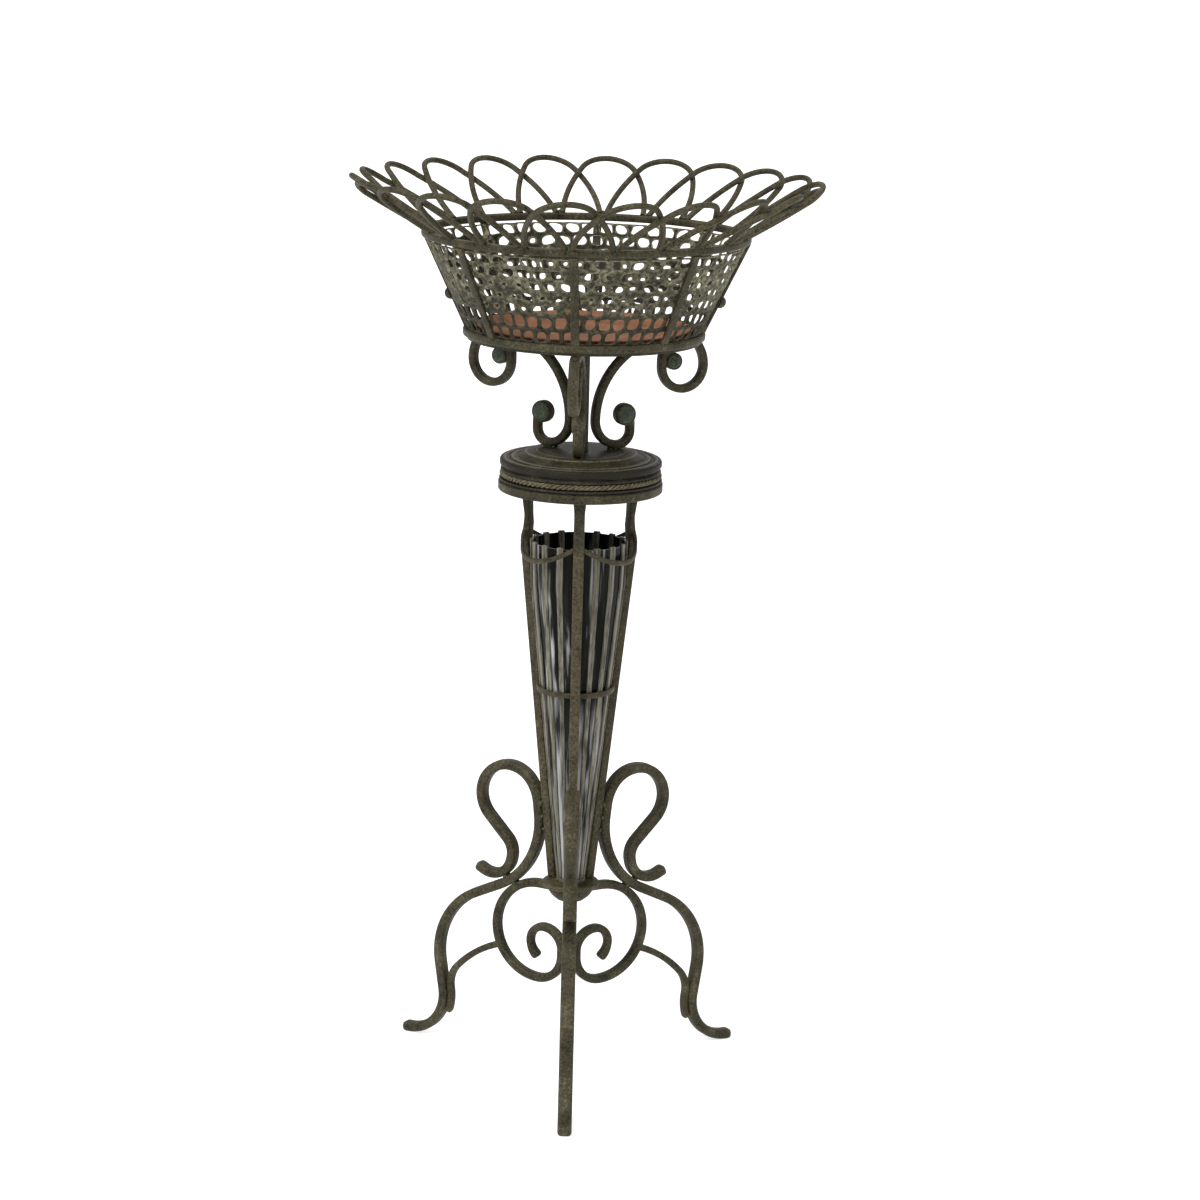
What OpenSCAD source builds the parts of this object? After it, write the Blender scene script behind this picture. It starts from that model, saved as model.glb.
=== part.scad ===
// Basket plant stand: a swivelling wirework basket on a three-legged scroll stand.
// Millimetres, +Z up, the floor at z = 0 under the middle of the basket, the front leg toward -Y.
// Bent bars lie in upright planes through the axis and are drawn there as [radius out, height].

/* [Rings] */
// Radius to the middle of the basket's top ring
top_ring_r = 188.5; // [160:0.5:210]
// Height of the top ring's upper face
top_ring_z = 1034.5; // [1010:0.5:1060]
// Radius to the middle of the basket's bottom ring
bottom_ring_r = 138; // [125:0.5:150]
// Height of the bottom ring's upper face
bottom_ring_z = 919; // [900:0.5:940]
// Height of a ring's bar
ring_h = 9; // [7:0.5:11]
// Width of a ring's bar
ring_w = 10; // [8:0.5:12]

/* [Rim] */
// Number of interlaced wire arches
arches = 22; // [20:2:24]
// Diameter of the rim wire
wire_d = 7; // [5:0.5:8]
// Radius to an arch's top
rim_r = 275; // [250:1:300]
// Height of an arch's top
rim_z = 1093; // [1075:1:1115]
// Radius of an arch's top bend
arch_top_r = 36; // [33:0.5:40]
// Radius of the long bend of an arch's sides
arch_side_r = 200; // [160:5:260]
// Turn of the whole basket on its spindle
basket_turn = -4; // [-10:1:10]

/* [Basket wall] */
// Number of ribs
ribs_n = 8; // [8:1:8]
// Width of a rib
rib_w = 10; // [7:0.5:13]
// Thickness of a rib
rib_t = 4; // [3:0.5:4.5]
// Thickness of a wall panel
panel_t = 2.4; // [1.8:0.1:3]
// Open strip between a panel and the top ring
panel_gap = 4; // [2:0.5:8]
// Holes along a panel
hole_columns = 7; // [5:1:7]
// Rows of holes in a panel
hole_rows = 5; // [4:1:5]
// Diameter of a hole in a panel
hole_d = 9.5; // [6:0.5:10]
// Diameter of a side knob
knob_d = 15; // [11:1:17]
// Share of the wall's height at which the knobs sit
knob_share = 0.34; // [0.3:0.02:0.6]

/* [Floor and saucer] */
// Thickness of the basket's floor plate
floor_t = 3.5; // [2.5:0.5:5]
// Diameter of a drain hole in the floor plate
drain_d = 16; // [10:1:22]
// Radius of the saucer's rim
saucer_r = 127; // [110:1:130]
// Height of the saucer
saucer_h = 13; // [11:1:40]
// Wall of the saucer
saucer_wall = 4; // [3:0.5:6]
// Thickness of the saucer's base
saucer_base = 5; // [3:0.5:8]

/* [Scroll arms] */
// Width of an arm's bar
arm_w = 12; // [9:0.5:13]
// Thickness of an arm's bar
arm_t = 10; // [7.5:0.5:11]
// Straight length of an arm at its waist
arm_waist_l = 0.5; // [0.5:0.5:12]
// Radius of the hanging curl
arm_curl_r = 28; // [24:1:32]
// Radius of the foot curl
arm_foot_r = 30; // [26:1:33]
// Radius of the lower bud
lower_bud_r = 13.4; // [11:0.2:14]
// Radius of the upper bud
upper_bud_r = 10.5; // [8:0.5:11]

/* [Drum and spindle] */
// Radius of the cap plate
cap_r = 96.5; // [92:0.5:100]
// Thickness of the cap plate at its rim
cap_h = 9.5; // [8:0.5:12]
// Rise of the cap plate's middle
cap_rise = 8; // [6:0.5:10]
// Height of the drum
drum_h = 18; // [16:0.5:20]
// Diameter of the rope moulding
rope_d = 6.8; // [5:0.2:7.4]
// Diameter of the spindle's upper length
post_d = 16; // [14:1:20]
// Diameter of the spindle in its bearing
spindle_d = 12; // [8:0.5:13]
// Height of the nut under the seat plate
nut_h = 9; // [7:0.5:11]

/* [Seat plate] */
// Radius of the seat plate
seat_r = 98; // [95:0.5:104]
// Height of the seat plate's lower edge
seat_z = 726; // [700:1:750]
// Height of the seat plate's band
seat_h = 11; // [9:0.5:14]
// Thickness of the seat plate's web
seat_web = 4; // [3:0.5:6]
// Radius of the seat plate's hub
hub_r = 18; // [14:1:24]
// Height of the seat plate's hub
hub_h = 16; // [12:1:22]

/* [Column] */
// Width of an upright at its shoulder
upright_w = 12.8; // [11:0.2:15]
// Width of an upright at its foot
upright_foot_w = 9.8; // [8:0.2:12]
// Thickness of an upright
upright_t = 11; // [9:0.5:12]
// Thickness of an upright's neck
neck_t = 7; // [6:0.5:9]
// Radius to an upright's outer face at its foot
upright_foot_r = 30.3; // [28:0.1:34]
// Radius to an upright's outer face at its shoulder
upright_shoulder_r = 78.5; // [72:0.5:82]
// Height of the shoulder
shoulder_z = 655; // [630:1:670]
// Height of the waist ring's lower edge
waist_z = 480; // [440:1:520]
// Height of the waist ring
waist_h = 6.5; // [5:0.5:9]
// Thickness of the waist ring
waist_t = 4; // [3:0.5:5]
// Height of a swag's ends
swag_z = 668; // [664:1:672]
// Drop of a swag between two uprights
swag_drop = 22.5; // [14:0.5:26]
// Height of a swag's bar
swag_h = 6; // [5:0.5:8]
// Thickness of a swag's bar
swag_t = 4.5; // [3:0.5:5]

/* [Slatted vase] */
// Number of slats
slats = 16; // [12:1:18]
// Radius of the vase at its foot
vase_foot_r = 17; // [14:0.2:17.6]
// Radius of the vase at its waist
vase_waist_r = 42; // [37:0.5:42]
// Radius of the vase at its shoulder
vase_shoulder_r = 56.5; // [52:0.5:58]
// Radius of the vase at its mouth
vase_top_r = 58.5; // [52:0.5:60]
// Height of the vase's mouth above the foot plate
vase_h = 425; // [400:1:430]
// Thickness of a slat
slat_t = 4; // [3:0.5:5]
// Width of a slat at the mouth
slat_w = 8; // [6:0.5:9]
// Width of a slat at the foot
slat_foot_w = 3.4; // [2.6:0.2:4]
// Thickness of the panels between the slats
pane_t = 1.4; // [1:0.1:2]
// Height of the vase's foot disc
vase_disc_h = 5; // [4:0.5:8]

/* [Foot plate] */
// Radius of the plate under the uprights
plate_r = 35; // [33:0.5:38]
// Thickness of that plate
plate_t = 6; // [5:0.5:9]
// Height of the plate's upper face
plate_z = 240; // [236:1:244]
// Radius of the bowl under the plate
bowl_r = 29; // [25:0.5:30]
// Depth of the bowl
bowl_h = 21; // [16:1:26]

/* [Legs] */
// Width of a leg's bar
leg_w = 17; // [13:0.5:19]
// Thickness of a leg's bar
leg_t = 12; // [9:0.5:12.5]
// Radius of the bend from the upright out to the run
leg_run_r = 97; // [92:1:102]
// Straight length of the run
leg_reach = 40; // [36:1:46]
// Radius of the knee
knee_r = 92; // [86:1:98]
// Straight length of the shin
shin_l = 36; // [30:0.5:42]
// Radius of the bend out to the toe
toe_r = 52; // [48:0.5:56]
// Radius of the loop's outer side
loop_r = 39.5; // [37:0.1:42]

/* [C-scrolls and braces] */
// Width of a C-scroll's bar
scroll_w = 13; // [10:0.5:13.5]
// Thickness of a C-scroll's bar
scroll_t = 10.5; // [8:0.5:11]
// Radius of a C-scroll's back
scroll_r = 60.7; // [57:0.1:61]
// Radius from the axis to the middle of a C-scroll
scroll_mid_r = 42.5; // [41:0.5:44]
// Width of a brace
brace_w = 10; // [7:0.5:12]
// Thickness of a brace
brace_t = 8; // [6:0.5:9]
// Radius of a brace's tight bend
brace_r = 36.5; // [32:0.5:40]

/* [Clearances] */
// Gap between pieces that are seated against each other
seat_gap = 0.2; // [0.1:0.05:0.3]
// Gap of the swivel under the drum
swivel_gap = 0.3; // [0.2:0.05:0.5]
// Radial clearance of the spindle in its bearing
spindle_clear = 0.05; // [0.02:0.01:0.1]

/* [Hidden] */
$fn = 96;
legs_n = 3;
bend_step = 86;
iron = [0.36, 0.34, 0.27];
iron_dark = [0.27, 0.26, 0.21];
verdigris = [0.42, 0.47, 0.40];
terracotta = [0.72, 0.45, 0.32];
pane_dark = [0.10, 0.10, 0.11];

// Heights and radii that follow from the sizes above
floor_top = bottom_ring_z - ring_h;
floor_under = floor_top - floor_t;
drum_z = seat_z + seat_h + swivel_gap;
cap_z = drum_z + drum_h;
cap_top = cap_z + cap_h + cap_rise;
ring_corner = 2.5;
upright_slope = (upright_shoulder_r - upright_foot_r) / (shoulder_z - plate_z);
upright_lean = atan(upright_slope);

// Radius of an upright's outer face at a height on its straight length
function upright_out(z) = upright_foot_r + (z - plate_z) * upright_slope;

// Poses along a bent bar: each is [radius out, height, heading].
// A step is [bend radius, angle], with a negative radius to the right, or [0, length] for a straight.
function along(pose, step, share) =
    let (side = sign(step[0]), r = abs(step[0]), turn = side * step[1] * share, a = pose[2])
    side == 0
        ? [pose[0] + step[1] * share * cos(a), pose[1] + step[1] * share * sin(a), a]
        : [pose[0] + side * r * (sin(a + turn) - sin(a)), pose[1] - side * r * (cos(a + turn) - cos(a)), a + turn];
function cuts(step) = step[0] == 0 ? 1 : ceil(step[1] * sqrt(abs(step[0])) / bend_step);
function route(pose, steps, i = 0) = i == len(steps)
    ? [pose]
    : concat(
        [for (k = [0:cuts(steps[i]) - 1]) along(pose, steps[i], k / cuts(steps[i]))],
        route(along(pose, steps[i], 1), steps, i + 1));
function last_pose(poses) = poses[len(poses) - 1];
function turned_back(pose) = [pose[0], pose[1], pose[2] + 180];
function reversed(poses) = [for (i = [len(poses) - 1:-1:1]) turned_back(poses[i])];
function last_of(poses, heading) = last_pose([for (p = poses) if (abs(p[2] - heading) < 0.01) p]);

// A bar's rounded end: [share of its thickness further on, girth]
bar_end = [[0.2, 0.97], [0.36, 0.84], [0.47, 0.58]];
function girth(pose) = len(pose) > 3 ? pose[3] : 1;
function further(pose, d, g) = [pose[0] + d * cos(pose[2]), pose[1] + d * sin(pose[2]), pose[2], girth(pose) * g];
function rounded_end(poses, t) = concat(poses, [for (e = bar_end) further(last_pose(poses), e[0] * t, e[1])]);
function rounded_start(poses, t) = concat(
    [for (k = [2:-1:0]) further(poses[0], -bar_end[k][0] * t, bar_end[k][1])], poses);

// A bar's rounded section: [across the bend, sideways]
function section(w, t, c) = [
    for (q = [0:3], k = [0:2])
        let (a = q * 90 + k * 45, x = q == 0 || q == 3 ? 1 : -1, y = q < 2 ? 1 : -1)
        [x * (t / 2 - c) + c * cos(a), y * (w / 2 - c) + c * sin(a)]
];

// A closed skin over equal rings of points
function skin_faces(rings, sides) = concat(
    [[for (k = [sides - 1:-1:0]) k]],
    [[for (k = [0:sides - 1]) (rings - 1) * sides + k]],
    [for (i = [0:rings - 2], k = [0:sides - 1])
        [i * sides + k, (i + 1) * sides + (k + 1) % sides, (i + 1) * sides + k]],
    [for (i = [0:rings - 2], k = [0:sides - 1])
        [i * sides + k, i * sides + (k + 1) % sides, (i + 1) * sides + (k + 1) % sides]]);

module bent_bar(poses, w, t, c) {
    ring = section(w, t, c);
    polyhedron(
        points = [for (p = poses, q = ring) let (g = girth(p))
            [p[0] - g * q[0] * sin(p[2]), g * q[1], p[1] + g * q[0] * cos(p[2])]],
        faces = skin_faces(len(poses), len(ring)));
}

// Turn a shape drawn toward +X to face an azimuth: 0 is the front, positive to the right
module facing(azimuth) {
    rotate(azimuth - 90) children();
}

module ring_bar(r, z, w, h, c) {
    rotate_extrude()
        translate([r, z]) {
            square([w - 2 * c, h], center = true);
            square([w, h - 2 * c], center = true);
            for (x = [-1, 1], y = [-1, 1])
                translate([x * (w / 2 - c), y * (h / 2 - c)]) circle(c);
        }
}

// Legs
leg_corner = 0.36 * leg_t;
run_turn = 64 + upright_lean;
shin_heading = 260.4;
leg_down = [[0, 15], [leg_run_r, run_turn], [0, leg_reach], [-knee_r, 334 - shin_heading], [0, shin_l],
    [toe_r, 360 - shin_heading], [0, 1]];
leg_up = [[-53, 33.8 - upright_lean], [-40, 58], [-loop_r, 134], [0, 36], [26, 57], [0, 3], [27.5, 104], [0, 5.5]];
leg_drop = -min([for (p = route([0, 0, 270 - upright_lean], leg_down)) p[1]]);
weld_z = leg_drop + leg_t / 2;
weld_r = upright_out(weld_z) + (leg_t / 2 + seat_gap) / cos(upright_lean);
leg_down_poses = route([weld_r, weld_z, 270 - upright_lean], leg_down);
leg_middle = concat(reversed(route([weld_r, weld_z, 90 - upright_lean], leg_up)), leg_down_poses);
leg_poses = rounded_end(rounded_start(leg_middle, leg_t), leg_t);

module leg(i) {
    color(iron)
        facing(i * 360 / legs_n) bent_bar(leg_poses, leg_w, leg_t, leg_corner);
}

// C-scrolls: the bar is a little thinner in the inner curl
scroll_corner = 0.34 * scroll_t;
scroll_top_z = plate_z - plate_t - seat_gap - scroll_t / 2;
scroll_start_r = bowl_r + seat_gap;
inner_bend_r = scroll_mid_r - scroll_t / 2 - 0.6 - scroll_w / 2 / tan(180 / legs_n);
scroll_route = route([scroll_start_r, scroll_top_z, 0],
    [[0, scroll_mid_r - scroll_start_r], [-scroll_r, 180], [-inner_bend_r, 90], [0, 7.5], [-26, 90],
    [-19, 90], [-24, 44], [0, 1]]);
function curl_girth(left) = left < 3 ? 1.02 - 0.05 * left : left < 14 ? 0.86 + 0.01 * (left - 2) : 1;
scroll_poses = rounded_end(
    [for (k = [0:len(scroll_route) - 1]) concat(scroll_route[k], curl_girth(len(scroll_route) - 1 - k))], scroll_t);

module c_scroll(i) {
    color(iron)
        facing(i * 360 / legs_n) bent_bar(scroll_poses, scroll_w, scroll_t, scroll_corner);
}

// Braces: each runs up beside its leg's shin and bends in to the C-scroll's back
brace_corner = 0.3 * brace_t;
brace_off = (leg_t + brace_t) / 2 + seat_gap + 0.05;
shin_end = last_of(leg_down_poses, shin_heading);
brace_low = along(shin_end, [toe_r, 27], 1);
brace_start = [brace_low[0] + brace_off * sin(brace_low[2]), brace_low[1] - brace_off * cos(brace_low[2]),
    brace_low[2] - 180];
brace_poses = rounded_start(
    route(brace_start, [[-toe_r - brace_off, 27], [0, 0.5], [brace_r, 52], [149, 29], [0, 1]]), brace_t);

module braces() {
    color(iron)
        for (i = [0:legs_n - 1])
            facing(i * 360 / legs_n)
                difference() {
                    bent_bar(brace_poses, brace_w, brace_t, brace_corner);
                    bent_bar(scroll_poses, scroll_w, scroll_t + 2 * seat_gap, scroll_corner);
                }
}

// Foot plate with the round bowl under it
module foot_plate() {
    color(iron)
        rotate_extrude() {
            translate([0, plate_z - plate_t]) square([plate_r, plate_t]);
            intersection() {
                translate([0, plate_z - plate_t - bowl_h]) square([bowl_r, bowl_h]);
                translate([0, plate_z - plate_t - bowl_h + bowl_dome_r]) circle(bowl_dome_r);
            }
        }
}
bowl_dome_r = (pow(bowl_r, 2) + pow(bowl_h, 2)) / (2 * bowl_h) * 1.02;

// Uprights: a straight leaning bar, a shoulder, a thinner neck and a flare under the seat plate
upright_top = seat_z + seat_h - seat_web - seat_gap;
neck_out = upright_shoulder_r - 4.5;
flare_out = upright_shoulder_r + 6;
neck_z = shoulder_z + 34;
upright_outer = [
    [upright_out(plate_z + seat_gap), plate_z + seat_gap],
    [upright_out(shoulder_z - 12), shoulder_z - 12],
    [upright_shoulder_r, shoulder_z],
    [upright_shoulder_r - 0.6, shoulder_z + 7],
    [neck_out + 1.2, shoulder_z + 17],
    [neck_out, neck_z - 6],
    [neck_out, neck_z],
    [neck_out + 1.6, neck_z + 9],
    [flare_out - 5, upright_top - 12],
    [flare_out, upright_top]
];
upright_inner = [
    [flare_out - neck_t - 8, upright_top],
    [neck_out - neck_t + 0.6, neck_z + 16],
    [neck_out - neck_t, neck_z],
    [neck_out - neck_t - 1, shoulder_z + 22],
    [upright_out(shoulder_z) - upright_t, shoulder_z],
    [upright_out(plate_z + seat_gap) - upright_t, plate_z + seat_gap]
];

// Half the width at each height, seen from the front
upright_half = [
    [upright_foot_w / 2, plate_z - 1], [upright_w / 2, shoulder_z - 12], [upright_w / 2, upright_top - 22],
    [upright_w / 2 + 1.2, upright_top - 9], [upright_w / 2 + 3, upright_top + 1]];

module upright_bar(gap) {
    intersection() {
        rotate([90, 0, 0])
            translate([0, 0, -20]) linear_extrude(40) polygon(concat(upright_outer, upright_inner));
        rotate([90, 0, 90])
            linear_extrude(2 * seat_r)
                polygon(concat(
                    [for (p = upright_half) [p[0] + gap, p[1]]],
                    [for (k = [len(upright_half) - 1:-1:0]) [-upright_half[k][0] - gap, upright_half[k][1]]]));
    }
}

module upright(i) {
    color(iron) facing(i * 360 / legs_n) upright_bar(0);
}

// Swags: flat bars that sag between the uprights
swag_end_r = upright_shoulder_r - upright_t / 2 - 1;
swag_mid_r = swag_end_r - 6.5;
swag_steps = 18;
function sag(u) = 1 - u * u;
function swag_corner(q) = [swag_t / 2 * (q == 0 || q == 3 ? 1 : -1), swag_h / 2 * (q < 2 ? 1 : -1)];
function swag_point(u, q) =
    let (a = u * (180 / legs_n - 3), r = swag_end_r - (swag_end_r - swag_mid_r) * sag(u) + swag_corner(q)[0])
    [r * cos(a), r * sin(a), swag_z - swag_drop * sag(u) + swag_corner(q)[1]];

module swags() {
    color(iron)
        for (i = [0:legs_n - 1])
            difference() {
                facing((i + 0.5) * 360 / legs_n)
                    polyhedron(
                        points = [for (k = [0:swag_steps], q = [0:3]) swag_point(2 * k / swag_steps - 1, q)],
                        faces = skin_faces(swag_steps + 1, 4));
                for (j = [i, i + 1])
                    facing(j * 360 / legs_n) upright_bar(seat_gap);
            }
}

waist_out = upright_out(waist_z) - upright_t - seat_gap;
module waist_ring() {
    color(iron)
        rotate_extrude() translate([waist_out - waist_t, waist_z]) square([waist_t, waist_h]);
}

// Slatted vase: tapered slats with dark panes between them, on a small foot disc
vase_z = plate_z + seat_gap + vase_disc_h;
vase_mid_z = waist_z + waist_h / 2;
vase_top_z = plate_z + vase_h;
pane_inset = (slat_t + pane_t) / 2;
vase_shoulder_z = plate_z + 0.875 * vase_h;
vase_cuts = [
    [plate_z, vase_foot_r], [vase_mid_z, vase_waist_r], [vase_shoulder_z, vase_shoulder_r], [vase_top_z, vase_top_r]];
function vase_out(z) = lookup(z, vase_cuts);
function slat_half(z) = (slat_foot_w + (slat_w - slat_foot_w) * (z - vase_z) / (vase_top_z - vase_z)) / 2;
function slat_ring(z, gap, inner, outer) = [
    [vase_out(z) - inner, slat_half(z) + gap, z],
    [vase_out(z) + outer, slat_half(z) + gap, z],
    [vase_out(z) + outer, -slat_half(z) - gap, z],
    [vase_out(z) - inner, -slat_half(z) - gap, z]
];

module slat_bar(z0, z1, gap, inner, outer) {
    polyhedron(
        points = [for (z = [z0, vase_mid_z, vase_shoulder_z, z1], p = slat_ring(z, gap, inner, outer)) p],
        faces = skin_faces(4, 4));
}

module vase_slats() {
    color(iron) {
        for (i = [0:slats - 1])
            facing(i * 360 / slats) slat_bar(vase_z + seat_gap, vase_top_z, 0, slat_t, 0);
        translate([0, 0, plate_z + seat_gap]) cylinder(h = vase_disc_h, r = vase_foot_r + 1);
    }
}

function pane_corner(z, q) =
    let (a = 180 / slats, d = (vase_out(z) - pane_inset + (q == 1 || q == 2 ? pane_t : 0)) * cos(a))
    [d, (q < 2 ? 1 : -1) * (d * sin(a) - slat_half(z) - seat_gap / 2) / cos(a), z];

module vase_panes() {
    color(pane_dark)
        for (i = [0:slats - 1])
            facing((i + 0.5) * 360 / slats)
                polyhedron(
                    points = [
                        for (z = [vase_z + seat_gap, vase_mid_z, vase_shoulder_z, vase_top_z - 2], q = [0:3])
                            pane_corner(z, q)],
                    faces = skin_faces(4, 4));
}

// Seat plate: the stand's top, with the bearing for the spindle
module seat_plate() {
    color(iron)
        difference() {
            union() {
                rotate_extrude() {
                    translate([seat_r - 8, seat_z + 2]) square([8, seat_h - 3]);
                    translate([seat_r - 8, seat_z]) square([6, seat_h]);
                    translate([seat_r - 2, seat_z + 2]) circle(2);
                }
                translate([0, 0, seat_z + seat_h - seat_web]) cylinder(h = seat_web, r = seat_r - 4);
                translate([0, 0, seat_z + seat_h - hub_h]) cylinder(h = hub_h, r = hub_r);
            }
            translate([0, 0, seat_z - hub_h]) cylinder(h = 3 * hub_h, d = spindle_d + 2 * spindle_clear);
        }
}

// Spindle: the post under the basket, thinner where it turns in the seat plate
nut_z = seat_z + seat_h - hub_h - swivel_gap - nut_h;
module spindle() {
    color(iron_dark) {
        translate([0, 0, cap_top + seat_gap]) cylinder(h = floor_under - seat_gap - cap_top - seat_gap, d = post_d);
        translate([0, 0, nut_z - 4]) cylinder(h = cap_top + 4 + seat_gap - nut_z, d = spindle_d);
    }
}

module spindle_nut() {
    color(iron_dark)
        translate([0, 0, nut_z])
            difference() {
                cylinder(h = nut_h, d = spindle_d * 1.85, $fn = 6);
                translate([0, 0, -1]) cylinder(h = nut_h + 2, d = spindle_d + 2 * spindle_clear);
            }
}

module drum() {
    seat = rope_seat_r;
    color(iron)
        difference() {
            rotate_extrude()
                polygon([
                    [0, drum_z], [cap_r - 1.5, drum_z], [cap_r + 0.5, drum_z + 1.5], [cap_r + 0.5, drum_z + 3.5],
                    [seat, drum_z + 4.5], [seat, drum_z + 4.5 + rope_d + 0.4],
                    [cap_r - 1, drum_z + 5.5 + rope_d], [cap_r - 1, drum_z + 7.5 + rope_d],
                    [cap_r - 4, cap_z - 1], [cap_r - 4, cap_z - seat_gap], [0, cap_z - seat_gap]]);
            translate([0, 0, drum_z - 1]) cylinder(h = drum_h + 2, d = spindle_d + 2 * spindle_clear);
        }
}
rope_seat_r = cap_r - rope_d;

module rope_moulding() {
    color(iron)
        rotate_extrude()
            translate([rope_seat_r + seat_gap + rope_d / 2, drum_z + 4.7 + rope_d / 2]) circle(d = rope_d);
}

// Cap plate: a rounded rim, two turned grooves and a raised green middle
module cap_plate() {
    z1 = cap_z + cap_h;
    color(iron)
        difference() {
            rotate_extrude()
                polygon([
                    [0, cap_z], [cap_r - 2, cap_z], [cap_r, cap_z + 2], [cap_r, z1 - 3], [cap_r - 0.9, z1 - 0.9],
                    [cap_r - 3, z1], [cap_r - 9, z1], [cap_r - 10, z1 - 1.2], [cap_r - 12, z1 - 1.2],
                    [cap_r - 13, z1 + 0.6], [cap_r - 19, z1 + 1.4], [cap_r - 20, z1 + 0.4], [cap_r - 22, z1 + 0.4],
                    [cap_r - 23, z1 + 2], [cap_r - 31, z1 + cap_rise - 1.2], [cap_r - 34, z1 + cap_rise],
                    [0, z1 + cap_rise]]);
            translate([0, 0, cap_z - 1]) cylinder(h = cap_h + cap_rise + 2, d = spindle_d + 2 * spindle_clear);
        }
}

// Scroll arms: a foot curl on the cap plate, a long bend out under the floor and a hanging curl
arm_corner = 0.32 * arm_t;
run_z = floor_under - seat_gap - arm_t / 2;
run_mid_r = 112;
waist_r = 17.5;
arm_turn_r = 20;
arm_turn = 16;
sweep_drop = run_z - arm_waist_l - arm_foot_r - (cap_top + seat_gap + arm_t / 2);
arm_sweep_r = (sweep_drop - arm_turn_r * (1 - cos(arm_turn))) / cos(arm_turn);
run_end_r = waist_r + arm_sweep_r * (1 - sin(arm_turn)) + arm_turn_r * sin(arm_turn);
arm_in = [[0, run_mid_r - run_end_r], [arm_turn_r, arm_turn], [arm_sweep_r, 90 - arm_turn], [0, arm_waist_l],
    [arm_foot_r, 90], [16, 90], [0, 9], [14, 90]];
arm_out = [[0, 27.5], [-14, 60], [0, 6], [-40, 30], [-arm_curl_r, 180], [0, 8], [-9, 90]];
arm_in_poses = route([run_mid_r, run_z, 180], arm_in);
arm_out_poses = route([run_mid_r, run_z, 0], arm_out);
arm_poses = concat(reversed(arm_out_poses), arm_in_poses);

module bud(pose, r, w) {
    translate([pose[0], 0, pose[1]])
        rotate([90, 0, 0]) {
            cylinder(h = w, r = r, center = true, $fn = 24);
            cylinder(h = w + 2.4, r = r - 3, center = true, $fn = 24);
        }
}

module arm(i) {
    lower = last_pose(arm_in_poses);
    upper = last_pose(arm_out_poses);
    color(iron)
        facing(i * 360 / legs_n + basket_turn) {
            bent_bar(arm_poses, arm_w, arm_t, arm_corner);
            bud([lower[0] + 6.5, lower[1] - 3], lower_bud_r, arm_w + 1);
            bud([upper[0] + 6, upper[1] - 11], upper_bud_r, arm_w + 1);
        }
}

// Floor plate of the basket, with its drain holes
module basket_floor() {
    color(iron_dark)
        difference() {
            translate([0, 0, floor_under]) cylinder(h = floor_t - seat_gap, r = bottom_ring_r);
            for (n = [[6, 50], [12, 95]], i = [0:n[0] - 1])
                rotate(basket_turn + (i + 0.5) * 360 / n[0])
                    translate([n[1], 0, floor_under - 1]) cylinder(h = floor_t + 2, d = drain_d);
        }
}

module bottom_ring() {
    color(iron) ring_bar(bottom_ring_r, bottom_ring_z - ring_h / 2, ring_w, ring_h, ring_corner);
}

module top_ring() {
    color(iron) ring_bar(top_ring_r, top_ring_z - ring_h / 2, ring_w, ring_h, ring_corner);
}

// Basket wall
wall_low = bottom_ring_z + seat_gap;
wall_high = top_ring_z - ring_h - seat_gap;
wall_slope = (top_ring_r - bottom_ring_r) / (wall_high - wall_low);
wall_lean = atan(wall_slope);
function wall_r(z) = bottom_ring_r + (z - wall_low) * wall_slope;

module rib_bar() {
    d = rib_t / cos(wall_lean);
    r0 = bottom_ring_r + seat_gap;
    r1 = wall_r(wall_high) + seat_gap;
    rotate([90, 0, 0])
        translate([0, 0, -rib_w / 2])
            linear_extrude(rib_w)
                polygon([[r0, wall_low], [r0 + d, wall_low], [r1 + d, wall_high], [r1, wall_high]]);
}

module ribs() {
    color(iron)
        for (i = [0:ribs_n - 1])
            facing(basket_turn + i * 360 / ribs_n) rib_bar();
}

module wall_panel(i) {
    sweep = 360 / ribs_n;
    edge = 0.25;
    z1 = top_ring_z - ring_h - panel_gap;
    d = panel_t / cos(wall_lean);
    rows_h = (z1 - wall_low) / hole_rows;
    color(iron)
        facing(basket_turn + i * sweep)
            difference() {
                rotate(edge)
                    rotate_extrude(angle = sweep - 2 * edge)
                        polygon([
                            [wall_r(wall_low) - d, wall_low], [wall_r(wall_low), wall_low],
                            [wall_r(z1), z1], [wall_r(z1) - d, z1]]);
                for (row = [0:hole_rows - 1], col = [0:hole_columns - 1]) {
                    z = wall_low + (row + 0.5) * rows_h;
                    a = sweep * (col + (row % 2 == 0 ? 0.3 : 0.7)) / hole_columns;
                    rotate(a)
                        translate([wall_r(z), 0, z])
                            rotate([0, 90 + wall_lean, 0]) cylinder(h = 4 * d, d = hole_d, center = true, $fn = 24);
                }
            }
}

// Two ball knobs, each half sunk on the rib at a side
module side_knobs() {
    z = wall_low + knob_share * (wall_high - wall_low);
    r = wall_r(z) + seat_gap + rib_t / cos(wall_lean);
    color(iron)
        for (a = [-90, 90])
            facing(basket_turn + a)
                translate([r, 0, z])
                    rotate([0, 90 + wall_lean, 0])
                        intersection() {
                            translate([0, 0, -knob_d / 10]) sphere(d = knob_d);
                            translate([-knob_d, -knob_d, seat_gap]) cube(2 * knob_d);
                        }
}

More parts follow.
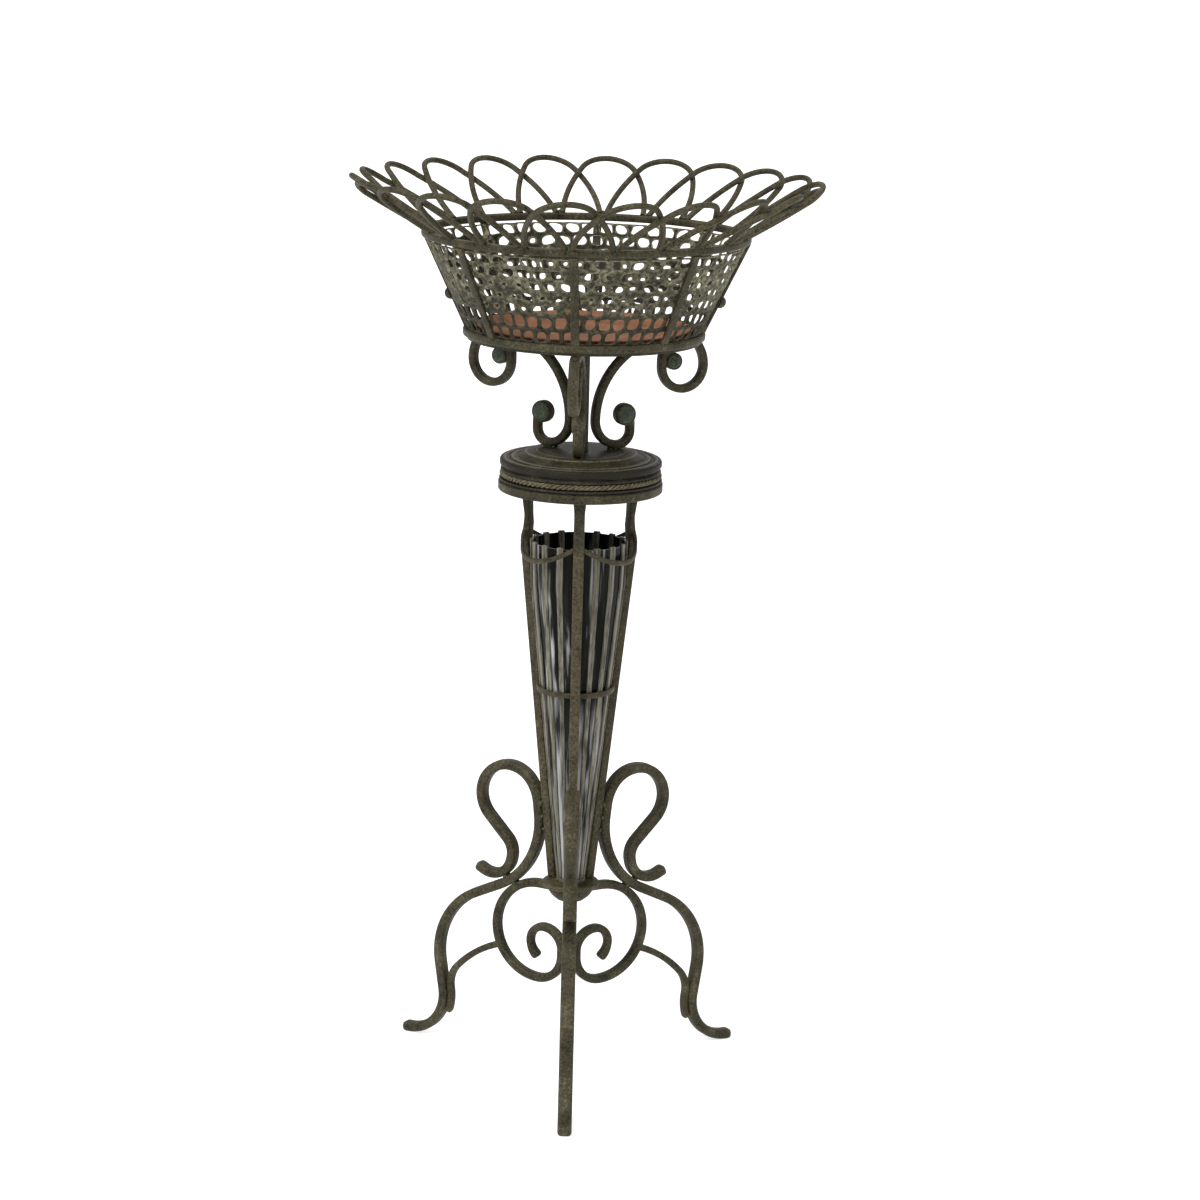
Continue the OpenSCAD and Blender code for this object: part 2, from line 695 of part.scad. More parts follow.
// Rim arches: each a bent wire in its own leaning plane, passing over one neighbour and under the other.
// Distances are measured in that plane: [up the slope, sideways].
arch_step = 360 / arches;
arch_turn = -2;
foot_apart = (wire_d + 4 * seat_gap) / 2 / top_ring_r * 180 / PI;
arch_half = top_ring_r * sin(arch_step - foot_apart);
arch_back = top_ring_r * cos(arch_step - foot_apart);
arch_rise = atan((rim_z - top_ring_z) / (rim_r - arch_back));
arch_l = norm([rim_z - top_ring_z, rim_r - arch_back]);
arch_centre = arch_l - arch_top_r;
arch_more = arch_side_r - arch_top_r;
arch_end = atan2(arch_half, arch_centre) + asin(
    (pow(arch_centre, 2) + pow(arch_half, 2) + pow(arch_more, 2) - pow(arch_side_r, 2))
    / (2 * arch_more * norm([arch_centre, arch_half])));
arch_lift = (wire_d + 6 * seat_gap) / 2;
arch_twist = asin(arch_lift / (arch_top_r * cos(arch_end)));

function on_arch(side) = [
    arch_centre + arch_top_r * sin(arch_end),
    side * arch_top_r * cos(arch_end) * cos(arch_twist),
    side * arch_top_r * cos(arch_end) * sin(arch_twist)];

// The side bend runs from the foot to the top bend's end, in a plane turned by side_tilt
side_tilt = atan2(on_arch(1)[2], on_arch(1)[0]);
side_up = [on_arch(1)[0] / cos(side_tilt), on_arch(1)[1]];
side_foot = [0, arch_half];
side_chord = side_up - side_foot;
side_back = sqrt(pow(arch_side_r, 2) - pow(norm(side_chord) / 2, 2));
side_centre = (side_up + side_foot) / 2 - side_back * [-side_chord[1], side_chord[0]] / norm(side_chord);
side_a0 = atan2(side_foot[0] - side_centre[0], side_foot[1] - side_centre[1]) - 5;
side_a1 = atan2(side_up[0] - side_centre[0], side_up[1] - side_centre[1]);

module arch_side(side) {
    translate(on_arch(side)) sphere(d = wire_d + 0.4);
    rotate([0, -side * side_tilt, 0])
        scale([1, side, 1])
            translate([side_centre[0], side_centre[1], 0])
                rotate(90 - side_a1)
                    rotate_extrude(angle = side_a1 - side_a0) translate([arch_side_r, 0]) circle(d = wire_d);
}

module rim_arch(i) {
    color(iron)
        facing(basket_turn + arch_turn + (i - 1) * arch_step)
            difference() {
                translate([arch_back, 0, top_ring_z])
                    rotate([0, -arch_rise, 0]) {
                        translate([arch_centre, 0, 0])
                            rotate([arch_twist, 0, 0])
                                rotate(arch_end - 90)
                                    rotate_extrude(angle = 180 - 2 * arch_end)
                                        translate([arch_top_r, 0]) circle(d = wire_d);
                        arch_side(1);
                        arch_side(-1);
                    }
                translate([0, 0, top_ring_z + seat_gap - 60]) cylinder(h = 60, r = rim_r);
            }
}

// Saucer: a shallow round tray that lies loose on the floor plate
module saucer() {
    z = floor_top + seat_gap;
    color(terracotta)
        rotate_extrude()
            polygon([
                [0, z], [saucer_r - 10, z], [saucer_r - 7, z + 1], [saucer_r, z + saucer_h - 1],
                [saucer_r - 1, z + saucer_h], [saucer_r - saucer_wall + 0.5, z + saucer_h],
                [saucer_r - saucer_wall - 7, z + saucer_base + 2], [saucer_r - saucer_wall - 10, z + saucer_base],
                [0, z + saucer_base]]);
}

leg(0);  // leg_1
leg(1);  // leg_2
leg(2);  // leg_3
c_scroll(0);  // c_scroll_1
c_scroll(1);  // c_scroll_2
c_scroll(2);  // c_scroll_3
braces();
foot_plate();
upright(0);  // upright_1
upright(1);  // upright_2
upright(2);  // upright_3
swags();
waist_ring();
vase_slats();
vase_panes();
seat_plate();
spindle();
spindle_nut();
drum();
rope_moulding();
cap_plate();
arm(0);  // arm_1
arm(1);  // arm_2
arm(2);  // arm_3
basket_floor();
bottom_ring();
ribs();
wall_panel(0);  // wall_panel_1
wall_panel(1);  // wall_panel_2
wall_panel(2);  // wall_panel_3
wall_panel(3);  // wall_panel_4
wall_panel(4);  // wall_panel_5
wall_panel(5);  // wall_panel_6
wall_panel(6);  // wall_panel_7
wall_panel(7);  // wall_panel_8
top_ring();
side_knobs();
rim_arch(1);  // rim_arch_1
rim_arch(2);  // rim_arch_2
rim_arch(3);  // rim_arch_3
rim_arch(4);  // rim_arch_4
rim_arch(5);  // rim_arch_5
rim_arch(6);  // rim_arch_6
rim_arch(7);  // rim_arch_7
rim_arch(8);  // rim_arch_8
rim_arch(9);  // rim_arch_9
rim_arch(10);  // rim_arch_10
rim_arch(11);  // rim_arch_11
rim_arch(12);  // rim_arch_12
rim_arch(13);  // rim_arch_13
rim_arch(14);  // rim_arch_14
rim_arch(15);  // rim_arch_15
rim_arch(16);  // rim_arch_16
rim_arch(17);  // rim_arch_17
rim_arch(18);  // rim_arch_18
rim_arch(19);  // rim_arch_19
rim_arch(20);  // rim_arch_20
rim_arch(21);  // rim_arch_21
rim_arch(22);  // rim_arch_22
saucer();
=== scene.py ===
"""Looks of the basket plant stand: patinated wrought iron, cast lace and a fired-clay saucer."""

import logging
import math
import random
from dataclasses import dataclass
from enum import Enum

import bmesh
import bpy
from mathutils import Matrix, Vector


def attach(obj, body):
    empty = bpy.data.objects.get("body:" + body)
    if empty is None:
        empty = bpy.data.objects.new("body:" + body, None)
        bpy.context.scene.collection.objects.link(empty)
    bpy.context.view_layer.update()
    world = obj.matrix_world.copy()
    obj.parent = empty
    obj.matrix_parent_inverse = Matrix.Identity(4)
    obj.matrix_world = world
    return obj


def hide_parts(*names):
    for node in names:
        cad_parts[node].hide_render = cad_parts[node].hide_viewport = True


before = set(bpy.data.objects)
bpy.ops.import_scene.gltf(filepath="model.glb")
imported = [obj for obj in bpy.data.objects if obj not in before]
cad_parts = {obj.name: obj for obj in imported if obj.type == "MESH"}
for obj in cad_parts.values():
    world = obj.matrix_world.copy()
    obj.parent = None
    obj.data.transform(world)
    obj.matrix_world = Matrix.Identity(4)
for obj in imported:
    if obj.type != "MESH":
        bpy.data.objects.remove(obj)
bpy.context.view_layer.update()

MM = 0.001
LEAST_BEVEL_ANGLE = 25.0
log = logging.getLogger("plant_stand")

Socket = bpy.types.NodeSocket
Node = bpy.types.Node
Mesh = bpy.types.Mesh
Piece = bpy.types.Object
Point = tuple[float, float, float]
Colour = tuple[float, float, float]
Profile = list[tuple[float, float]]


class Body(Enum):
    """The three bodies that move against each other."""

    STAND = "stand"
    BASKET = "basket"
    SAUCER = "saucer"


class Slot(Enum):
    """The record's material slots."""

    IRON = "patinated_iron"
    MESH = "cast_mesh"
    SLATS = "bronzed_slats"
    CLAY = "terracotta"


# Node trees


class Tree:
    """Adds and joins the nodes of one shader or Geometry Nodes tree."""

    def __init__(self, tree: bpy.types.NodeTree) -> None:
        """Keeps the tree that the nodes go into."""
        self.tree = tree

    def add(self, kind: str, **values: object) -> Node:
        """Adds a node.

        Args:
            kind: The node's type name.
            **values: Its own properties, in lower case, and its inputs, as feed takes them.

        Returns:
            The new node.
        """
        node = self.tree.nodes.new(kind)
        for name in [name for name in values if name.islower()]:
            setattr(node, name, values.pop(name))
        return self.feed(node, **values)

    def feed(self, node: Node, **inputs: object) -> Node:
        """Sets or joins inputs by name, with underscores for spaces.

        Args:
            node: The node whose inputs are set.
            **inputs: Plain values, sockets, or nodes, which stand for their first output.

        Returns:
            The same node.
        """
        for name, value in inputs.items():
            self.put(node.inputs[name.replace("_", " ")], value)
        return node

    def fill(self, node: Node, *values: object) -> Node:
        """Sets or joins a node's first inputs in order.

        Args:
            node: The node whose inputs are set.
            *values: The values, as feed takes them.

        Returns:
            The same node.
        """
        for socket, value in zip(node.inputs, values):
            self.put(socket, value)
        return node

    def put(self, socket: Socket, value: object) -> None:
        """Sets one input or joins it to an output.

        Args:
            socket: The input socket.
            value: The value, as feed takes it.
        """
        if isinstance(value, Node):
            value = value.outputs[0]
        if isinstance(value, Socket):
            self.tree.links.new(value, socket)
        else:
            socket.default_value = value

    def math(self, operation: str, *values: object) -> Node:
        """Returns a new math node with its operands."""
        return self.fill(self.add("ShaderNodeMath", operation=operation), *values)

    def times(self, a: object, b: object) -> Node:
        """Returns the product of two values."""
        return self.math("MULTIPLY", a, b)

    def rescale(self, value: object, low: float, high: float, a: float, b: float) -> Node:
        """Maps the range from low to high onto the one from a to b, clamped."""
        return self.fill(self.add("ShaderNodeMapRange"), value, low, high, a, b)

    def place(self) -> Socket:
        """Returns the object's own coordinates."""
        return self.add("ShaderNodeTexCoord").outputs["Object"]

    def axes(self) -> bpy.types.NodeOutputs:
        """Returns the object's own coordinates as three sockets."""
        return self.add("ShaderNodeSeparateXYZ", Vector=self.place()).outputs

    def noise(self, scale: float, detail: float, rough: float = 0.5,
              stretch: tuple = (1, 1, 1)) -> Node:
        """Adds a noise on the object's own coordinates.

        Args:
            scale: Its scale per metre.
            detail: How many finer layers it has.
            rough: How strong they are.
            stretch: What the coordinates are multiplied by first.

        Returns:
            The noise.
        """
        drawn = self.add("ShaderNodeMapping", Vector=self.place(), Scale=stretch)
        return self.add("ShaderNodeTexNoise", Vector=drawn, Scale=scale, Detail=detail,
                        Roughness=rough)

    def ramp(self, factor: object, stops: dict[float, Colour]) -> Node:
        """Adds a colour ramp.

        Args:
            factor: What drives the ramp.
            stops: The colours by their places along it, in order.

        Returns:
            The ramp.
        """
        node = self.fill(self.add("ShaderNodeValToRGB"), factor)
        elements = node.color_ramp.elements
        while len(elements) < len(stops):
            elements.new(0.5)
        for element, (place, colour) in zip(elements, stops.items()):
            element.position = place
            element.color = (*colour, 1.0)
        return node

    def blend(self, share: object, colour: object, other: Colour) -> Socket:
        """Mixes a plain colour into another.

        Args:
            share: How much of the plain colour.
            colour: The colour so far.
            other: The plain colour.

        Returns:
            The result's socket.
        """
        node = self.add("ShaderNodeMix", data_type="RGBA")
        for place, value in ((0, share), (6, colour), (7, (*other, 1))):
            self.put(node.inputs[place], value)
        return node.outputs[2]


class Sculptor:
    """Builds a Geometry Nodes tree, runs it on a seed mesh and keeps the plain result."""

    def __init__(self, name: str) -> None:
        """Starts an empty tree with a geometry input and output.

        Args:
            name: The tree's name.
        """
        self.group = bpy.data.node_groups.new(name, "GeometryNodeTree")
        self.tree = Tree(self.group)
        for way in ("INPUT", "OUTPUT"):
            self.group.interface.new_socket("Geometry", in_out=way,
                                            socket_type="NodeSocketGeometry")
        self.names: dict[str, str] = {}
        self.source = self.tree.add("NodeGroupInput")

    def input(self, name: str, kind: str, value: object = None) -> Socket:
        """Adds a named input.

        Args:
            name: The input's name.
            kind: Float, Int or Material.
            value: Its default.

        Returns:
            The socket inside the tree.
        """
        item = self.group.interface.new_socket(name, in_out="INPUT",
                                               socket_type="NodeSocket" + kind)
        if value is not None:
            item.default_value = value
        self.names[name] = item.identifier
        return self.source.outputs[name]

    def path(self) -> Node:
        """Returns the mesh that comes in as a curve."""
        return self.tree.add("GeometryNodeMeshToCurve", Mesh=self.source)

    def close(self, geometry: Node, sharp: float = 0.9) -> "Sculptor":
        """Realizes, shades and dresses the geometry and ends the tree.

        Args:
            geometry: The geometry made so far.
            sharp: The edge angle, in radians, past which an edge stays crisp.

        Returns:
            The sculptor.
        """
        t = self.tree
        real = t.add("GeometryNodeRealizeInstances", Geometry=geometry)
        smooth = t.add("GeometryNodeSetShadeSmooth", Geometry=real)
        steep = t.math("GREATER_THAN", t.add("GeometryNodeInputMeshEdgeAngle"), sharp)
        crisp = t.add("GeometryNodeSetShadeSmooth", domain="EDGE", Geometry=smooth,
                      Selection=steep, Shade_Smooth=False)
        finish = self.input("Finish", "Material")
        dressed = t.add("GeometryNodeSetMaterial", Geometry=crisp, Material=finish)
        t.add("NodeGroupOutput", Geometry=dressed)
        return self

    def repeat(self, geometry: Node) -> "Sculptor":
        """Repeats the geometry about the upright axis and ends the tree.

        Args:
            geometry: What is repeated.

        Returns:
            The sculptor.
        """
        t = self.tree
        first = self.input("First Turn", "Float", 0.0)
        step = self.input("Turn Step", "Float", 2.0944)
        points = t.add("GeometryNodePoints", Count=self.input("Copies", "Int", 3))
        turn = t.math("ADD", first, t.times(t.add("GeometryNodeInputIndex"), step))
        return self.close(t.add("GeometryNodeInstanceOnPoints", Points=points, Instance=geometry,
                                Rotation=t.add("ShaderNodeCombineXYZ", Z=turn)))

    def run(self, seed_mesh: Mesh, name: str, finish: "Finish", **values: object) -> Piece:
        """Runs the tree on a mesh and returns the result as a plain object.

        Args:
            seed_mesh: The mesh that goes in.
            name: The new object's name.
            finish: Its finish.
            **values: The tree's other inputs by name, with underscores for spaces.

        Returns:
            An object at the origin with the finished mesh and no modifier.
        """
        seed = linked(name + ".seed", seed_mesh)
        modifier = seed.modifiers.new("nodes", "NODES")
        modifier.node_group = self.group
        for key, value in {**values, "Finish": finish.material()}.items():
            modifier[self.names[key.replace("_", " ")]] = value
        return bake(seed, name)


def linked(name: str, data: bpy.types.ID) -> Piece:
    """Puts data into the scene as a new object.

    Args:
        name: The object's name.
        data: Its mesh, camera or light.

    Returns:
        The object.
    """
    made = bpy.data.objects.new(name, data)
    bpy.context.scene.collection.objects.link(made)
    return made


def bake(source: Piece, name: str) -> Piece:
    """Turns an object with live modifiers into a plain one.

    Args:
        source: The object, which is removed.
        name: The new object's name.

    Returns:
        The plain object.
    """
    graph = bpy.context.evaluated_depsgraph_get()
    mesh = bpy.data.meshes.new_from_object(source.evaluated_get(graph), depsgraph=graph)
    bpy.data.objects.remove(source)
    mesh.name = name
    return linked(name, mesh)


# Finishes


class Finish:
    """A procedural material, made once."""

    made: dict[str, bpy.types.Material] = {}

    def material(self) -> bpy.types.Material:
        """Gives the material.

        Returns:
            The material, built at the first call.
        """
        key = type(self).__name__ + getattr(self, "name", "")
        if key not in Finish.made:
            made = bpy.data.materials.new(key)
            made.use_nodes = True
            self.build(Tree(made.node_tree), made.node_tree.nodes["Principled BSDF"])
            Finish.made[key] = made
        return Finish.made[key]

    def build(self, t: Tree, shader: Node) -> None:
        """Builds the finish's nodes.

        Args:
            t: The material's tree.
            shader: Its main shader node.
        """
        raise NotImplementedError


@dataclass(frozen=True)
class Patina(Finish):
    """Old iron: an olive-brown skin, painted shade in its hollows, worn edges and green bloom.

    The scales are per metre and the depths in metres. The mottle holds the noise values of the
    colour stops. Ridge and hollow hold the pointiness between which an edge gets rubbed, or is
    darkened as painted shade, and patch and the two breaks the noise between which bloom and
    wear set in.
    """

    name: str = "Iron"
    deep: Colour = (0.0080, 0.0074, 0.0044)
    skin: Colour = (0.0315, 0.0275, 0.0152)
    worn: Colour = (0.128, 0.106, 0.056)
    bloom: Colour = (0.050, 0.064, 0.046)
    bloom_amount: float = 0.5
    roughness: float = 0.5
    gloss: float = 0.14
    grain: float = 1.0
    rub: float = 0.5
    stretch: float = 1.0
    broad_scale: float = 34.0
    fine_scale: float = 330.0
    grit_scale: float = 640.0
    mottle: tuple = (0.40, 0.49, 0.54, 0.66)
    ridge: tuple = (0.505, 0.56)
    hollow: tuple = (0.42, 0.49)
    patch: tuple = (0.53, 0.66)
    rub_break: tuple = (0.38, 0.58)
    bloom_break: tuple = (0.42, 0.58)
    fine_share: float = 0.55
    # How dark the painted shade in the hollows gets.
    hollow_shade: float = 0.85
    fine_depth: float = 0.0012
    grit_depth: float = 0.0004

    def noise(self, t: Tree, scale: float, detail: float = 5.0, rough: float = 0.6) -> Node:
        """Returns a noise drawn out along the upright axis."""
        return t.noise(scale, detail, rough, (1, 1, self.stretch))

    def marks(self, t: Tree, colour: Socket, fine: Node) -> Socket:
        """Adds what a special finish has on top. Plain iron has nothing more.

        Args:
            t: The tree.
            colour: The colour so far.
            fine: The fine noise.

        Returns:
            The new colour.
        """
        return colour

    def build(self, t: Tree, shader: Node) -> None:
        """Builds the patina's nodes.

        Args:
            t: The material's tree.
            shader: Its main shader node.
        """
        broad = self.noise(t, self.broad_scale)
        fine = self.noise(t, self.fine_scale * self.grain, 5.0, 0.66)
        grit = self.noise(t, self.grit_scale * self.grain, 3.0)
        edge = t.add("ShaderNodeNewGeometry").outputs["Pointiness"]
        mottled = t.math("ADD", t.times(broad, 1 - self.fine_share), t.times(fine, self.fine_share))
        tones = (self.deep, self.skin, self.skin, self.worn)
        colour = t.ramp(mottled, dict(zip(self.mottle, tones)))
        rubbed = t.times(t.rescale(edge, *self.ridge, 0.0, self.rub),
                         t.rescale(fine, *self.rub_break, 0.2, 1.0))
        colour = t.blend(rubbed, colour, self.worn)
        # Painted shade: hollows, where pointiness is low, are darkened towards the deep colour.
        colour = t.blend(t.rescale(edge, *self.hollow, self.hollow_shade, 0.0), colour, self.deep)
        cloudy = self.noise(t, self.broad_scale, 7.0, 0.72)
        patches = t.times(t.rescale(cloudy, *self.patch, 0.0, 1.0),
                          t.rescale(grit, *self.bloom_break, 0.15, 1.0))
        colour = t.blend(t.times(patches, self.bloom_amount), colour, self.bloom)
        low = t.add("ShaderNodeBump", Strength=0.6, Distance=self.fine_depth, Height=fine)
        top = t.add("ShaderNodeBump", Strength=0.4, Distance=self.grit_depth, Height=grit,
                    Normal=low)
        rough = t.rescale(fine, 0.35, 0.65, self.roughness - 0.14, self.roughness + 0.2)
        t.feed(shader, Base_Color=self.marks(t, colour, fine), Roughness=rough, Normal=top,
               Specular_IOR_Level=self.gloss)


@dataclass(frozen=True)
class TurnedIron(Patina):
    """A turned plate: near-black round its rim, with worn pale rings on its top. In metres."""

    name: str = "Turned"
    rings: tuple = (0.0905, 0.0815, 0.0655, 0.0525)
    ring_w: float = 0.0016
    rim_r: float = 0.0945
    rim_fade: float = 0.0008
    pale: Colour = (0.20, 0.185, 0.125)

    def marks(self, t: Tree, colour: Socket, fine: Node) -> Socket:
        """Adds the dark rim and the pale rings.

        Args:
            t: The tree.
            colour: The colour so far.
            fine: The fine noise.

        Returns:
            The new colour.
        """
        x, y, _ = t.axes()
        out = t.math("SQRT", t.math("ADD", t.times(x, x), t.times(y, y)))
        rim = t.rescale(out, self.rim_r, self.rim_r + self.rim_fade, 0.0, 0.86)
        colour = t.blend(rim, colour, self.deep)
        for r in self.rings:
            off = t.math("ABSOLUTE", t.math("SUBTRACT", out, r))
            near = t.rescale(off, self.ring_w * 0.4, self.ring_w, 0.75, 0.0)
            worn = t.times(near, t.rescale(fine, 0.38, 0.6, 0.25, 1.0))
            colour = t.blend(worn, colour, self.pale)
        return colour


@dataclass(frozen=True)
class LaceIron(Patina):
    """The lace wall: pale and speckled, darker in its two lowest rows. Heights in metres."""

    name: str = "Lace"
    dark_z: float = 0.944
    pale_z: float = 0.968

    def marks(self, t: Tree, colour: Socket, fine: Node) -> Socket:
        """Darkens the lowest rows, as the base class says."""
        dark = t.rescale(t.axes()[2], self.dark_z, self.pale_z, 0.7, 0.0)
        return t.blend(dark, colour, self.deep)


@dataclass(frozen=True)
class Clay(Finish):
    """Fired clay, matt and a little stained."""

    name: str = "Saucer"
    body: Colour = (0.175, 0.069, 0.028)
    pale: Colour = (0.35, 0.165, 0.078)
    stain: Colour = (0.045, 0.020, 0.011)

    def build(self, t: Tree, shader: Node) -> None:
        """Builds the clay's nodes.

        Args:
            t: The material's tree.
            shader: Its main shader node.
        """
        fine = t.noise(150, 6)
        mixed = t.math("ADD", t.times(t.noise(22, 6, 0.65), 0.6), t.times(fine, 0.4))
        colour = t.ramp(mixed, {0.34: self.stain, 0.46: self.body, 0.52: self.body,
                                0.68: self.pale})
        t.feed(shader, Base_Color=colour, Roughness=t.rescale(fine, 0.3, 0.7, 0.7, 0.95),
               Normal=t.add("ShaderNodeBump", Strength=0.4, Distance=0.0005, Height=fine))


@dataclass(frozen=True)
class DarkPane(Finish):
    """Glossy panes, black above the waist ring, with painted reflections streaked pale below it."""

    name: str = "Panes"
    tint: Colour = (0.0025, 0.0027, 0.0022)
    # The next two are the dim and pale colours of the painted reflections.
    dim_reflection: Colour = (0.012, 0.013, 0.011)
    painted_reflection: Colour = (0.36, 0.36, 0.36)
    dark_z: float = 0.49
    pale_z: float = 0.44
    gloss: float = 0.06

    def build(self, t: Tree, shader: Node) -> None:
        """Builds the panes' nodes.

        Args:
            t: The material's tree.
            shader: Its main shader node.
        """
        # Painted reflection: dark and pale vertical streaks stand in for what the panes mirror.
        reflection_streak = t.noise(1.0, 3, stretch=(95, 95, 3))
        colour = t.ramp(reflection_streak, {0.45: self.tint, 0.56: self.dim_reflection, 0.70: self.painted_reflection})
        # Below the waist the painted reflection turns silver-pale.
        low = t.times(t.rescale(t.axes()[2], self.pale_z, self.dark_z, 1.0, 0.0),
                      t.rescale(reflection_streak, 0.44, 0.60, 0.03, 0.85))
        t.feed(shader, Base_Color=t.blend(low, colour, self.painted_reflection),
               Roughness=t.rescale(reflection_streak, 0.3, 0.7, 0.06, 0.25), Specular_IOR_Level=self.gloss)


@dataclass(frozen=True)
class PaleGround(Finish):
    """The pale studio ground, with a faint light of its own."""

    name: str = "Ground"
    colour: Colour = (0.46, 0.46, 0.46)
    paler: Colour = (0.48, 0.48, 0.48)
    glow: float = 0.74

    def build(self, t: Tree, shader: Node) -> None:
        """Builds the ground's nodes.

        Args:
            t: The material's tree.
            shader: Its main shader node.
        """
        t.feed(shader, Base_Color=t.ramp(t.noise(3, 2), {0.2: self.colour, 0.8: self.paler}),
               Roughness=0.9, Emission_Color=(1, 1, 1, 1), Emission_Strength=self.glow)


IRON = Patina()
IRON_DARK = Patina(name="Dark", deep=(0.004, 0.004, 0.003), skin=(0.014, 0.013, 0.009),
                   worn=(0.09, 0.08, 0.05), bloom_amount=0.2)
TURNED = TurnedIron(skin=(0.027, 0.0232, 0.0128))
ROPE = Patina(name="Rope", deep=(0.004, 0.0037, 0.0022), skin=(0.034, 0.0300, 0.0175),
              worn=(0.17, 0.148, 0.088), grain=1.2, rub=0.75)
LACE = LaceIron(deep=(0.0035, 0.0033, 0.0022), skin=(0.024, 0.0215, 0.013),
                worn=(0.30, 0.275, 0.18), bloom=(0.22, 0.22, 0.155), roughness=0.6, gloss=0.12,
                grain=0.62, rub=0.8)
VERDIGRIS = Patina(name="Verdigris", deep=(0.016, 0.021, 0.014), skin=(0.046, 0.060, 0.043),
                   worn=(0.11, 0.13, 0.09), bloom=(0.12, 0.155, 0.12), bloom_amount=0.6,
                   roughness=0.75, gloss=0.1)
SLAT_BRONZE = Patina(name="Slats", deep=(0.004, 0.0036, 0.0025), skin=(0.017, 0.015, 0.0095),
                     worn=(0.24, 0.225, 0.165), bloom_amount=0.1, roughness=0.36, gloss=0.25,
                     rub=0.85, stretch=0.05)
CLAY = Clay()
PANES = DarkPane()
GROUND = PaleGround()


# Paths and shapes


@dataclass(frozen=True)
class Bend:
    """A stretch of a bent bar: an arc, or a straight where the radius is 0. Positive is left."""

    radius: float
    amount: float


@dataclass(frozen=True)
class Pose:
    """A place and heading in the upright plane, and the bar's share of its full girth there."""

    out: float
    up: float
    heading: float
    girth: float = 1.0

    def along(self, bend: Bend, share: float = 1.0) -> "Pose":
        """Moves along a bend.

        Args:
            bend: The stretch.
            share: How much of it.

        Returns:
            The new pose.
        """
        a = math.radians(self.heading)
        if bend.radius == 0:
            way = bend.amount * share
            return Pose(self.out + way * math.cos(a), self.up + way * math.sin(a), self.heading)
        side = math.copysign(1, bend.radius)
        r = abs(bend.radius)
        b = a + math.radians(side * bend.amount * share)
        return Pose(self.out + side * r * (math.sin(b) - math.sin(a)),
                    self.up - side * r * (math.cos(b) - math.cos(a)), math.degrees(b))

    def ahead(self, way: float, girth: float) -> "Pose":
        """Moves straight on.

        Args:
            way: How far in millimetres, backwards where negative.
            girth: The bar's girth there, as a share of the start's.

        Returns:
            The new pose.
        """
        on = self.along(Bend(0, way))
        return Pose(on.out, on.up, self.heading, self.girth * girth)


def bends(*pairs: tuple[float, float]) -> list[Bend]:
    """Makes a list of bends from radius and amount pairs."""
    return [Bend(r, a) for r, a in pairs]


def route(start: Pose, stretches: list[Bend], step: float = 4.0) -> list[Pose]:
    """Follows bends from a start.

    Args:
        start: The first pose.
        stretches: The bends in order.
        step: The arc between poses in degrees.

    Returns:
        The poses, from the first to the last.
    """
    poses = [start]
    here = start
    for bend in stretches:
        count = 1 if bend.radius == 0 else max(1, math.ceil(bend.amount / step))
        poses += [here.along(bend, (k + 1) / count) for k in range(count)]
        here = here.along(bend)
    return poses


def reversed_poses(poses: list[Pose]) -> list[Pose]:
    """Returns the poses from last to second, turned back."""
    return [Pose(p.out, p.up, p.heading + 180) for p in reversed(poses[1:])]


def rounded(poses: list[Pose], thick: float, start: bool = True) -> list[Pose]:
    """Rounds a bar's ends off.

    Args:
        poses: The bar's path.
        thick: Its thickness in millimetres.
        start: Whether its first end is rounded too.

    Returns:
        The longer path.
    """
    tip = [(0.14, 0.985), (0.26, 0.94), (0.36, 0.85), (0.43, 0.72), (0.47, 0.55)]
    first = [poses[0].ahead(-way * thick, g) for way, g in reversed(tip)] if start else []
    return first + poses + [poses[-1].ahead(way * thick, g) for way, g in tip]


def nearest(first: list[Pose], second: list[Pose]) -> tuple[float, float]:
    """Finds where two paths come closest.

    Args:
        first: One path.
        second: The other.

    Returns:
        The radius and height halfway between them.
    """
    a, b = min(((a, b) for a in first for b in second),
               key=lambda pair: math.hypot(pair[0].out - pair[1].out, pair[0].up - pair[1].up))
    return (a.out + b.out) / 2, (a.up + b.up) / 2


def facing(azimuth: float) -> float:
    """Returns the turn in radians that brings +X to an azimuth in degrees, 0 at the front."""
    return math.radians(azimuth - 90)


def spot(r: float, turn: float, z: float) -> Point:
    """Returns the point in metres at a radius and height in millimetres and a turn in radians."""
    return (r * MM * math.cos(turn), r * MM * math.sin(turn), z * MM)


def line_mesh(name: str, points: list[Point], closed: bool = False) -> Mesh:
    """Makes a mesh of joined edges.

    Args:
        name: The mesh's name.
        points: The corners in metres.
        closed: Whether the last joins the first.

    Returns:
        The mesh.
    """
    mesh = bpy.data.meshes.new(name)
    edges = [(i, i + 1) for i in range(len(points) - 1)]
    mesh.from_pydata(points, edges + ([(len(points) - 1, 0)] if closed else []), [])
    return mesh


def face_mesh(name: str, points: list[Point], faces: list[list[int]], finish: Finish) -> Piece:
    """Makes a piece of faces.

    Args:
        name: The piece's name.
        points: The corners in metres.
        faces: Each face's corners.
        finish: The finish.

    Returns:
        The piece.
    """
    mesh = bpy.data.meshes.new(name)
    mesh.from_pydata(points, [], faces)
    mesh.materials.append(finish.material())
    return linked(name, mesh)


